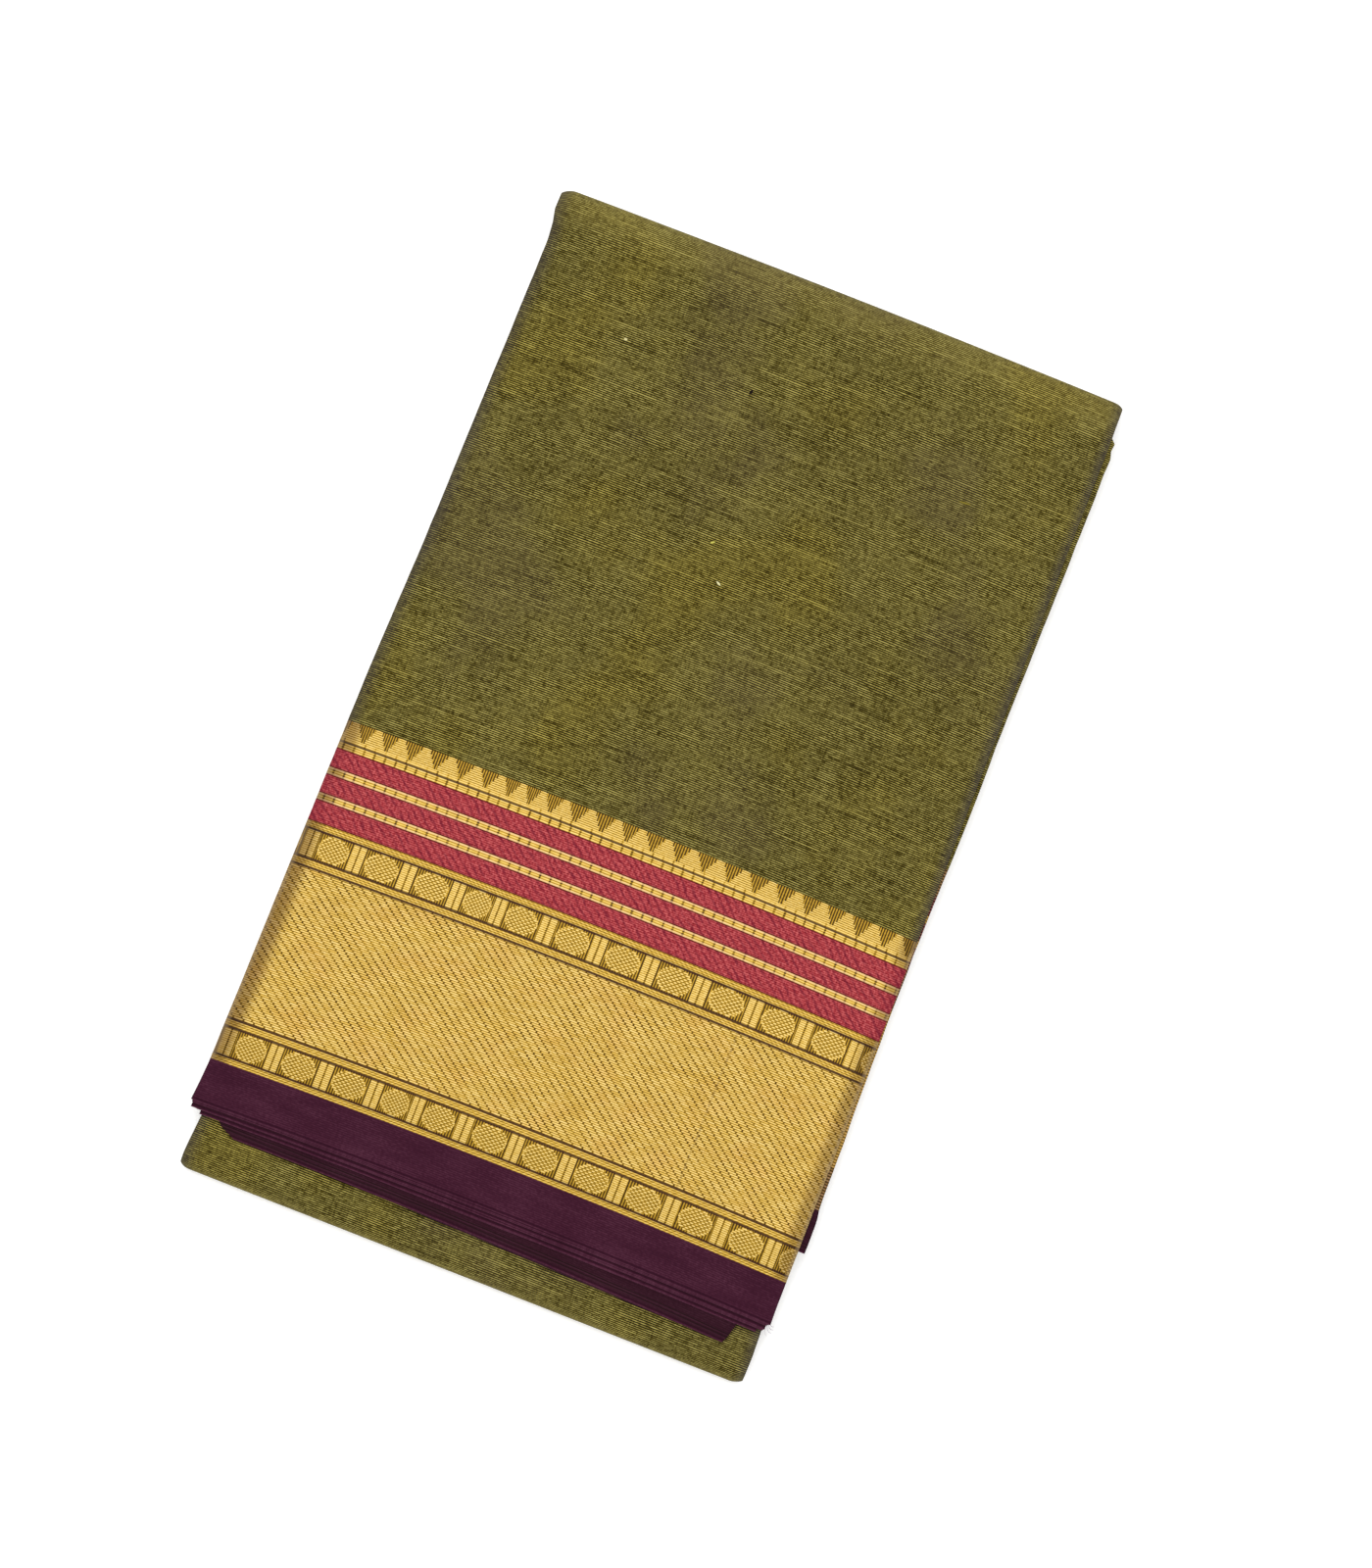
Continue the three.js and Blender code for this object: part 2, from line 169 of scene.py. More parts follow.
# Folded edges down each pack's sides, as shares of the pack's thickness
SIDE_FOLDS = (
    {"left": (1.0,), "right": (0.46, 0.27, 0.27)},
    {"left": (0.48, 0.26, 0.13, 0.13), "right": (0.26, 0.48, 0.26)},
    {"left": (0.25, 0.25, 0.5), "right": (0.5, 0.13, 0.13, 0.24)},
)
FOLD_WANDER = 0.8
WANDER_LENGTH = 60.0
SHORT_WANDER = 0.25
SHORT_WANDER_LENGTH = 11.0
FOLD_TURNS = (-80, -50, -20, 20, 50, 80)
FOLD_INSET = 0.5
FOLD_GAP = 0.03
WAVER = 0.1
WAVER_LENGTH = 9.0

# Selvedges of the front pack's other layers, from the second down: how far each comes out past the
# first at its left, middle and right, and how far its left and right ends are inset
SELVEDGE_LAYERS = (
    {"out": (0.3, 0.8, 0.4), "inset": (0.5, 0.6)},
    {"out": (0.9, 1.3, 0.8), "inset": (0.7, 1.2)},
    {"out": (2.7, 2.6, 2.4), "inset": (0.9, 1.5)},
    {"out": (2.4, 3.3, 2.8), "inset": (1.6, 1.9)},
    {"out": (2.9, 3.5, 3.2), "inset": (3.4, 2.2)},
    {"out": (4.4, 5.0, 4.6), "inset": (5.0, 4.4)},
    {"out": (4.0, 5.3, 4.9), "inset": (6.2, 13.0)},
)
SELVEDGE_LAYER_REACH = 19.0
SELVEDGE_COLUMNS = 96
SELVEDGE_ROWS = 12
SELVEDGE_WANDER = 0.18
SELVEDGE_WANDER_LENGTH = 22.0
SELVEDGE_SHORT_WANDER = 0.06
SELVEDGE_SHORT_LENGTH = 5.0
SELVEDGE_DROOP = 0.25
DROOP_FROM = 0.5
DROOP_RUN = 3.0
LAYER_WALL = 0.2

# Soft creases pressed into the outermost layer, as ridges or troughs along a line
CREASES = (
    {"x": 65.0, "y": -115.0, "length": 100.0, "width": 1.6, "height": 0.16, "turn": 91.0},
    {"x": 63.4, "y": -95.0, "length": 70.0, "width": 2.2, "height": -0.12, "turn": 91.0},
    {"x": -107.0, "y": 188.5, "length": 9.0, "width": 1.1, "height": 0.35, "turn": 128.0},
    {"x": -103.0, "y": 187.0, "length": 8.0, "width": 0.9, "height": 0.25, "turn": 122.0},
    {"x": -98.0, "y": 189.0, "length": 7.0, "width": 1.0, "height": 0.2, "turn": 118.0},
    {"x": 20.0, "y": 60.0, "length": 210.0, "width": 5.0, "height": 0.1, "turn": 88.0},
    {"x": -48.0, "y": 10.0, "length": 190.0, "width": 6.0, "height": -0.1, "turn": 92.0},
    {"x": 108.0, "y": -60.0, "length": 60.0, "width": 1.6, "height": 0.12, "turn": 86.0},
)
SWELL = 0.22
SWELL_LENGTH = 70.0
SWELL_SEED = 0.3
RIPPLE = 0.05
RIPPLE_LENGTH = 14.0
RIPPLE_STRETCH = 4.0
RIPPLE_SEED = 5.2
SWELL_IN_FOLDS = 0.35
SWELL_EASING = 20.0

SHEET_STEP = 1.7
BACK_STEP = 3.0
LAYER_STEP = 3.0
FOLD_STEP = 0.6
FLAT_WIDTH = 220.0
FLAT_COLUMN = 1.8
FLAT_COLUMNS = round(FLAT_WIDTH / FLAT_COLUMN)
BODY_COLUMNS = 26
MERGED = 0.001 * MM
NARROWEST_SHEET = 0.01


def clamp(t, low=0.0, high=1.0):
    return max(low, min(high, t))


def smooth(t):
    u = clamp(t)
    return u * u * (3 - 2 * u)


def lerp(a, b, t):
    return a + (b - a) * t


def fall_away(distance, reach, run):
    return clamp((distance - reach + run) / run) ** 2


def ends_in(rows, y):
    """Left and right end at a place along Y, between the rows on either side of it."""
    if y >= rows[0][0]:
        return rows[0][1:]
    for (y_a, left_a, right_a), (y_b, left_b, right_b) in zip(rows, rows[1:]):
        if y >= y_b:
            t = (y_a - y) / (y_a - y_b)
            return lerp(left_a, left_b, t), lerp(right_a, right_b, t)
    return rows[-1][1:]


def face_at(s):
    """Place on the outermost face at s along the cloth, its outward direction, and if it is in front."""
    if s <= TOP_FOLD_START:
        return FRONT_EDGE + s, HEIGHT, 0.0, 1.0, True
    if s < BACK_START:
        turn = (s - TOP_FOLD_START) / TOP_RADIUS
        ny, nz = math.sin(turn), math.cos(turn)
        return TOP_CENTRE + TOP_RADIUS * ny, PILE_MIDDLE + TOP_RADIUS * nz, ny, nz, False
    if s <= LOWER_FOLD_START:
        return TOP_CENTRE - (s - BACK_START), 0.0, 0.0, -1.0, False
    if s < TUCKED_START:
        turn = (s - LOWER_FOLD_START) / LOWER_RADIUS
        ny, nz = -math.sin(turn), -math.cos(turn)
        return LOWER_CENTRE + LOWER_RADIUS * ny, LOWER_RADIUS * (1 + nz), ny, nz, False
    return LOWER_CENTRE + s - TUCKED_START, TUCKED_TOP, 0.0, 1.0, False


def front_at(y):
    return y - FRONT_EDGE


def tucked_at(y):
    return TUCKED_START + y - LOWER_CENTRE


def settle(x, y, z):
    """The pile is pressed thinner at its sides, its ends bow, and its corners are rounded."""
    side = abs(x)
    squeeze = 1 - SIDE_SQUEEZE * fall_away(side, SIDE_REACH, SIDE_ROLL)
    in_front = z > TUCKED_TOP + AIR / 2
    along = (y - LOWER_CENTRE) / (TOP_CENTRE - LOWER_CENTRE)
    lean = max(1.0 if in_front else 0.0, clamp(2 * along - 1, -1, 1))
    bow = lerp(BORDER_BOW, BOW, smooth(y / TOP_CENTRE)) if in_front else BOW
    settled = y - lean * bow * (min(side, SIDE_REACH) / SIDE_REACH) ** 2
    for corner in CORNERS:
        top = corner["fold"] == "top"
        past = max(y - TOP_CENTRE, 0) if top else min(y - LOWER_CENTRE, 0)
        if corner["side"] * x > 0 and past != 0 and (top or not in_front):
            settled -= past * corner["pull"] * fall_away(side, SIDE_REACH, corner["radius"])
    return Vector((x, settled, PILE_MIDDLE + (z - PILE_MIDDLE) * squeeze)) * MM


def place(pack, s, x, n):
    """Point of a pack at s along the cloth, x across it and n out from the outermost face."""
    y, z, ny, nz, in_front = face_at(s)
    y += ny * n
    z += nz * n
    if in_front and pack == 0:
        z -= PITCH * smooth((SAG_FROM - y) / SAG_RUN)
    if in_front and pack == 2:
        y += THIRD_SKEW * x * smooth((SKEW_END - y) / SKEW_RUN)
    return settle(x, y, z)


def wander(s, length, seed):
    """Slow wandering between -1 and 1 along the cloth, another for each seed."""
    return noise.noise(Vector((s / length, seed * 7.31, seed * 1.7)))


def ends_at(pack, s):
    y, _, _, _, in_front = face_at(s)
    left, right = ends_in((FRONT_ENDS if in_front else BACK_ENDS)[pack], y)
    waver = WAVER * wander(s, WAVER_LENGTH, pack + 1)
    return left + waver, right - waver


def crease_height(x, s):
    """How far the outermost layer stands up at a place, from its creases and its soft swell."""
    y = face_at(s)[0]
    ripple_at = (x / RIPPLE_LENGTH, s / (RIPPLE_STRETCH * RIPPLE_LENGTH), RIPPLE_SEED)
    height = SWELL * noise.noise(Vector((x / SWELL_LENGTH, s / SWELL_LENGTH, SWELL_SEED)))
    height += RIPPLE * noise.noise(Vector(ripple_at))
    if s < TOP_FOLD_START:
        for crease in CREASES:
            turn = math.radians(crease["turn"])
            dx, dy = x - crease["x"], y - crease["y"]
            along = dx * math.cos(turn) + dy * math.sin(turn)
            aside = -dx * math.sin(turn) + dy * math.cos(turn)
            reach = 1 - smooth(abs(along) / (crease["length"] / 2))
            height += crease["height"] * reach * math.exp(-((aside / crease["width"]) ** 2))
    return height * lerp(SWELL_IN_FOLDS, 1.0, smooth((TOP_FOLD_START - s) / SWELL_EASING + 1))


def stations(start, end, step):
    """Distances where a mesh has a row of points, close together in the folds."""
    marks = [start, end]
    for mark in (TOP_FOLD_START, BACK_START, LOWER_FOLD_START, TUCKED_START):
        if start < mark < end:
            marks.append(mark)
    marks.sort()
    rows = [marks[0]]
    for a, b in zip(marks, marks[1:]):
        middle = (a + b) / 2
        turning = TOP_FOLD_START < middle < BACK_START or LOWER_FOLD_START < middle < TUCKED_START
        count = max(2, round((b - a) / (FOLD_STEP if turning else step)))
        rows.extend(lerp(a, b, (i + 1) / count) for i in range(count))
    return rows


def quarter(steps):
    return [i / steps * math.pi / 2 for i in range(steps + 1)]


def rounded_side(side, s):
    """Inset, depth and running length of the outermost layer from under a side up to where it is flat."""
    shape = SIDE_ROUND[side]
    easing = smooth(s / END_RUN)
    drop = lerp(min(END_DROP, shape["drop"]), shape["drop"], easing)
    under = shape["under"]
    points = [
        (shape["turn"] * (1 - math.sin(a)), -drop - under * math.cos(a)) for a in quarter(UNDER_STEPS)
    ]
    for a in quarter(OVER_STEPS)[1:]:
        points.append((shape["reach"] * (1 - math.cos(a)), -drop * (1 - math.sin(a))))
    return points


def across_sheet(s):
    """Points across the outermost layer, as x, depth and distance across the weave."""
    left, right = ends_at(0, s)
    left_points = [(left + inset, n) for inset, n in rounded_side("left", s)]
    right_points = [(right - inset, n) for inset, n in reversed(rounded_side("right", s))]
    start, end = left_points[-1][0], right_points[0][0]
    middle = [(lerp(start, end, i / FLAT_COLUMNS), 0.0) for i in range(1, FLAT_COLUMNS)]
    points = left_points + middle + right_points
    run = [0.0]
    for a, b in zip(points, points[1:]):
        run.append(run[-1] + math.dist(a, b))
    shift = start - run[len(left_points) - 1]
    return [(x, n, r + shift) for (x, n), r in zip(points, run)]


def folded_side(pack, side, s):
    """Inset and depth of a pack's folded edges, from its top down to its bottom."""
    shares = SIDE_FOLDS[pack][side]
    seed = pack * 10 + (5 if side == "left" else 0)
    top = -pack * PITCH
    thick = PACK
    if pack == 0:
        top -= SIDE_ROUND["right"]["drop"] + SIDE_ROUND["right"]["under"] + FOLD_GAP
        thick += top
    points = []
    for i, share in enumerate(shares):
        height = thick * share
        wandering = 0.5 + wander(s, WANDER_LENGTH, seed + i)
        wandering += SHORT_WANDER * wander(s, SHORT_WANDER_LENGTH, seed + i + 3)
        inset = FOLD_WANDER * wandering + (FOLD_INSET if pack == 0 else 0.0)
        for angle in FOLD_TURNS:
            turn = math.radians(angle)
            bulge = height / 2 * (1 - math.cos(turn))
            points.append((max(inset, 0.0) + bulge, top - height / 2 * (1 + math.sin(turn))))
        top -= height
    return points


def around_pack(pack, s):
    """Points right round a pack's section, as x, depth and distance across the weave."""
    left, right = ends_at(pack, s)
    top = folded_side(pack, "right", s)[0][1]
    bottom = -pack * PITCH - PACK
    right_points = [(right - inset, n) for inset, n in folded_side(pack, "right", s)]
    if pack == 0:
        inner = left + UNDER_INSET
        left_points = [
            (inner, bottom + UNDER_LIFT), (inner - UNDER_BULGE, UNDER_MIDDLE), (inner, top - UNDER_GAP)
        ]
    else:
        left_points = [(left + inset, n) for inset, n in reversed(folded_side(pack, "left", s))]
    start, end = left_points[-1][0], right_points[0][0]
    upper = [(lerp(start, end, i / BODY_COLUMNS), top) for i in range(1, BODY_COLUMNS)]
    lower = [
        (lerp(right_points[-1][0], left_points[0][0], i / BODY_COLUMNS), bottom)
        for i in range(1, BODY_COLUMNS)
    ]
    ring = left_points + upper + right_points + lower
    return [(x, n, x) for x, n in [*ring, ring[0]]]


def figure_at(x):
    """Place across the border's figures, in the weave's own measure."""
    for i, (a, b) in enumerate(zip(FIGURE_MIDDLES, FIGURE_MIDDLES[1:])):
        if x <= b or i == len(FIGURE_MIDDLES) - 2:
            return (i + (x - a) / (b - a)) * FIGURE_STEP


def grid_of(rows, columns):
    """A flat grid, with each vertex's column and row."""
    bm = bmesh.new()
    bmesh.ops.create_grid(bm, x_segments=columns - 1, y_segments=rows - 1, size=1.0)
    cells = {}
    for vertex in bm.verts:
        column = round((vertex.co.x + 1) / 2 * (columns - 1))
        row = round((vertex.co.y + 1) / 2 * (rows - 1))
        cells[vertex] = (column, row)
    return bm, cells


def laid_grid(rows_at, across, where):
    """A grid laid on the folded cloth. One UV map holds the place across and along the weave, the other
    the place among the border's figures and the distance in from the nearest side."""
    lines = [across(s) for s in rows_at]
    sides = [(min(p[0] for p in line), max(p[0] for p in line)) for line in lines]
    bm, cells = grid_of(len(rows_at), len(lines[0]))
    weave = bm.loops.layers.uv.new("weave")
    figure = bm.loops.layers.uv.new("figure")
    for face in bm.faces:
        for loop in face.loops:
            column, row = cells[loop.vert]
            x, _, run = lines[row][column]
            left, right = sides[row]
            loop[weave].uv = (run * MM, rows_at[row] * MM)
            loop[figure].uv = (figure_at(x) * MM, min(x - left, right - x) * MM)
    for vertex, (column, row) in cells.items():
        x, n, _ = lines[row][column]
        vertex.co = where(rows_at[row], x, n)
    return bm


def mesh_of(name, bm):
    """A mesh from a bmesh, which is freed."""
    mesh = bpy.data.meshes.new(name)
    bm.to_mesh(mesh)
    bm.free()
    return mesh


def put_in_scene(name, data):
    """A new object with its data, linked into the scene."""
    thing = bpy.data.objects.new(name, data)
    bpy.context.scene.collection.objects.link(thing)
    return thing


def close_ends(bm):
    """Merges the two edges where a rolled-up grid meets itself, and closes both its ends."""
    bmesh.ops.remove_doubles(bm, verts=bm.verts, dist=MERGED)
    bmesh.ops.holes_fill(bm, edges=[e for e in bm.edges if e.is_boundary])
    bmesh.ops.recalc_face_normals(bm, faces=bm.faces)


def finished(name, bm, material, slot, nodes=(), flat=None, thickness=0.0):
    """Turns a bmesh into a piece that rides on the frame."""
    for edge in bm.edges:
        if edge.is_boundary:
            edge.smooth = False
    mesh = mesh_of(name, bm)
    mesh.shade_smooth()
    mesh.materials.append(material)
    piece = put_in_scene(name, mesh)
    if thickness:
        wall = piece.modifiers.new("cloth", "SOLIDIFY")
        wall.thickness = thickness * MM
        wall.offset = -1.0
    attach(piece, "root")
    if nodes:
        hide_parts(*nodes)
    flat and min(flat) >= NARROWEST_SHEET
    return piece


def outer_cloth(name, start, end, step, material, slot, nodes):
    """A stretch of the outermost layer, whose sides turn round the pack."""
    def where(s, x, n):
        return place(0, s, x, n + crease_height(x, s))

    rows = stations(start, end, step)
    bm = laid_grid(rows, across_sheet, where)
    line = across_sheet((start + end) / 2)
    flat = ((line[-1][2] - line[0][2]) * MM, (end - start) * MM)
    return finished(name, bm, material, slot, nodes, flat, CLOTH)


def pack_layers(name, pack, start, end, material, slot, nodes=()):
    """The layers of a pack between two distances, layered down its sides."""
    rows = stations(start, end, LAYER_STEP)
    bm = laid_grid(rows, lambda s: around_pack(pack, s), lambda s, x, n: place(pack, s, x, n))
    close_ends(bm)
    for face in bm.faces:
        if len(face.verts) > 4:
            for edge in face.edges:
                edge.smooth = False
    left, right = ends_at(pack, (start + end) / 2)
    flat = ((right - left) * MM, (end - start) * MM)
    return finished(name, bm, material, slot, nodes, flat)


def selvedge_layer(index, layer, material):
    """One of the front pack's lower layers, whose selvedge comes out past the first one's."""
    number = index + 2
    depth = (index + 1) * CLOTH
    count = len(SELVEDGE_LAYERS)
    out_left, out_middle, out_right = layer["out"]
    inset_left, inset_right = layer["inset"]

    def out_at(x):
        t = clamp((x + SIDE_REACH) / (2 * SIDE_REACH)) * 2
        if t < 1:
            out = lerp(out_left, out_middle, smooth(t))
        else:
            out = lerp(out_middle, out_right, smooth(t - 1))
        out += SELVEDGE_WANDER * wander(x, SELVEDGE_WANDER_LENGTH, number)
        return out + SELVEDGE_SHORT_WANDER * wander(x, SELVEDGE_SHORT_LENGTH, number + 20)

    def across(t):
        left, right = ends_at(0, t)
        left += inset_left
        right -= inset_right
        spots = [lerp(left, right, i / SELVEDGE_COLUMNS) for i in range(SELVEDGE_COLUMNS + 1)]
        return [(x, 0.0, x) for x in spots]

    def where(t, x, n):
        s = lerp(-out_at(x), SELVEDGE_LAYER_REACH, t / SELVEDGE_LAYER_REACH)
        left, right = ends_at(0, t)
        near = min(x - left, right - x)
        drop = END_DROP * (1 - math.sin(math.acos(clamp(1 - near / SIDE_ROUND["left"]["reach"]))))
        level = lerp(-drop, -(PACK - CLOTH), (index + 1) / count) if drop > 0 else -depth
        droop = SELVEDGE_DROOP * smooth((-s - DROOP_FROM) / DROOP_RUN)
        return place(0, s, x, min(level, -depth) - droop * (1 - index / count))

    rows = [SELVEDGE_LAYER_REACH * i / SELVEDGE_ROWS for i in range(SELVEDGE_ROWS + 1)]
    bm = laid_grid(rows, across, where)
    left, right = ends_at(0, 0.0)
    width = right - left - inset_left - inset_right
    flat = (width * MM, (SELVEDGE_LAYER_REACH + out_middle) * MM)
    name = f"selvedge_layer_{number}"
    return finished(name, bm, material, "maroon_selvedge", (), flat, LAYER_WALL)


# Loose warp ends at the selvedge's right corner: each by its points' distance along the cloth, place
# across it and height over the outermost layer
LOOSE_ENDS = (
    ((1.0, 116.6, -0.9), (-1.4, 117.8, -0.7), (-1.9, 119.0, -0.5), (-1.1, 119.9, -0.2)),
    ((0.4, 116.2, -1.0), (-2.3, 117.5, -1.0), (-3.1, 118.6, -1.1), (-2.7, 119.5, -1.3)),
    ((0.0, 115.8, -1.0), (-3.1, 116.8, -1.1), (-4.0, 117.4, -1.4), (-4.5, 118.1, -1.8)),
    ((1.4, 116.9, -0.9), (-0.4, 118.3, -0.4), (-0.5, 119.0, -0.1), (0.1, 119.6, 0.1)),
)
THREAD_RADIUS = 0.12
THREAD_TAPER = 0.4
THREAD_SIDES = 6
THREAD_STEPS = 12


def strand_point(points, t):
    """A smooth curve through the middles of a strand's points."""
    level = [Vector(p) for p in points]
    while len(level) > 1:
        level = [a.lerp(b, t) for a, b in zip(level, level[1:])]
    return level[0]


def loose_ends(name, material):
    """Thin cut threads that stand out of the selvedge's corner, in one mesh."""
    whole = bmesh.new()
    for strand in LOOSE_ENDS:
        bm, cells = grid_of(THREAD_STEPS + 1, THREAD_SIDES + 1)
        weave = bm.loops.layers.uv.new("weave")
        for face in bm.faces:
            for loop in face.loops:
                column, row = cells[loop.vert]
                loop[weave].uv = (column * MM, row * MM)
        for vertex, (column, row) in cells.items():
            s, x, n = strand_point(strand, row / THREAD_STEPS)
            turn = column / THREAD_SIDES * 2 * math.pi
            radius = THREAD_RADIUS * (1 - THREAD_TAPER * row / THREAD_STEPS)
            vertex.co = place(0, s + radius * math.cos(turn), x, n + radius * math.sin(turn))
        close_ends(bm)
        strand_mesh = mesh_of("strand", bm)
        whole.from_mesh(strand_mesh)
        bpy.data.meshes.remove(strand_mesh)
    return finished(name, whole, material, "maroon_selvedge")


# Light on the pile, and what its surface adds to its own colour, in linear light
LIGHT_GAIN = 1.28
SURFACE_SHINE = 0.01
DARKEST = 0.0015


def srgb(r, g, b):
    """Linear colour of cloth that is seen, under the lamps, with values from 0 to 255."""
    def linear(c):
        c /= 255
        seen = c / 12.92 if c <= 0.04045 else ((c + 0.055) / 1.055) ** 2.4
        return max((seen - SURFACE_SHINE) / LIGHT_GAIN, DARKEST)

    return (linear(r), linear(g), linear(b), 1.0)


class Value:
    """A shader socket that Python's operators work on."""

    def __init__(self, finish, socket):
        self.finish = finish
        self.socket = socket

    def math(self, operation, *others, first=None):
        values = [self, *others] if first is None else [first, self, *others]
        return self.finish.node("ShaderNodeMath", {"operation": operation}, dict(enumerate(values)))

    def __add__(self, other):
        return self.math("ADD", other)

    __radd__ = __add__

    def __sub__(self, other):
        return self.math("SUBTRACT", other)

    def __rsub__(self, other):
        return self.math("SUBTRACT", first=other)

    def __mul__(self, other):
        return self.math("MULTIPLY", other)

    def __truediv__(self, other):
        return self.math("DIVIDE", other)

    def __abs__(self):
        return self.math("ABSOLUTE")

    def floor(self):
        return self.math("FLOOR")

    def fract(self):
        return self.math("FRACT")

    def cos(self):
        return self.math("COSINE")

    def sqrt(self):
        return self.math("SQRT")

    def least(self, other):
        return self.math("MINIMUM", other)

    def most(self, other):
        return self.math("MAXIMUM", other)

    def wave(self, pitch, shift=0.0):
        """1 on each line of a pitch and 0 halfway between two."""
        return ((self - shift) * (2 * math.pi / pitch)).cos() * 0.5 + 0.5

    def rises(self, low, high):
        """From 0 at low to 1 at high."""
        settings = {"interpolation_type": "SMOOTHSTEP", "clamp": True}
        return self.finish.node("ShaderNodeMapRange", settings, {0: self, 1: low, 2: high})

    def near(self, centre, inner, outer):
        """1 within inner of centre, and 0 from outer on."""
        return abs(self - centre).rises(outer, inner)

    def within(self, low, high, blur=0.08):
        """1 between low and high, with soft ends."""
        return self.rises(low - blur, low + blur) * (1 - self.rises(high - blur, high + blur))


# Unevenness of the yarns and the weave, by kind: the noise's steps for each millimetre, or each row,
# over its two places, its seed and how many finer layers it has
NOISES = {
    "row spacing": (0.008, 0.16, 9.0, 1.0),
    "row shades": (0.04, 3.7, 0.0, 1.0),
    "row streaks": (0.55, 5.3, 3.0, 1.0),
    "long rows": (0.02, 7.1, 4.0, 1.0),
    "slubs": (0.12, 1.6, 6.0, 2.0),
    "cross threads": (1.6, 0.25, 5.0, 1.0),
    "field fibres": (2.2, 1.6, 8.0, 1.0),
    "field clouds": (0.03, 0.03, 7.0, 4.0),
    "bars across the rows": (0.13, 0.004, 2.0, 2.0),
    "warmth": (0.018, 0.014, 11.0, 4.0),
    "maroon fibres": (0.8, 1.2, 4.0, 2.0),
    "maroon clouds": (0.05, 0.2, 9.0, 2.0),
    "pressed edges": (0.02, 1.0, 8.0, 2.0),
    "tie strength": (0.12, 0.12, 2.0, 2.0),
    "twill clouds": (0.08, 0.2, 5.0, 3.0),
    "twill fibres": (0.9, 1.3, 8.0, 1.0),
    "rose patches": (0.07, 0.08, 9.0, 3.0),
    "rope fibres": (0.5, 1.3, 6.0, 2.0),
    "figure fibres": (0.7, 1.3, 3.0, 2.0),
    "dash turns": (0.25, 31.0, 0.0, 2.0),
    "dash fibres": (0.4, 1.3, 2.0, 2.0),
    "red fibres": (1.2, 1.0, 1.0, 1.0),
    "red slant": (0.12, 0.12, 4.0, 2.0),
    "red patches": (0.15, 0.3, 6.0, 2.0),
    "pressed line": (0.05, 1.0, 0.0, 2.0),
    "pressed marks": (0.2, 0.5, 4.0, 2.0),
    "ragged side": (0.3, 0.12, 3.0, 2.0),
    "layer edges": (0.9, 1.0, 0.0, 2.0),
    "thread": (2.0, 2.0, 0.0, 2.0),
}


GLOSS = 0.12
BUMP_STRENGTH = 0.6


def set_stops(ramp, stops):
    """Gives a new colour ramp its (position, colour) stops."""
    ramp.elements[0].position, ramp.elements[0].color = stops[0]
    ramp.elements[1].position, ramp.elements[1].color = stops[-1]
    for position, colour in stops[1:-1]:
        ramp.elements.new(position).color = colour


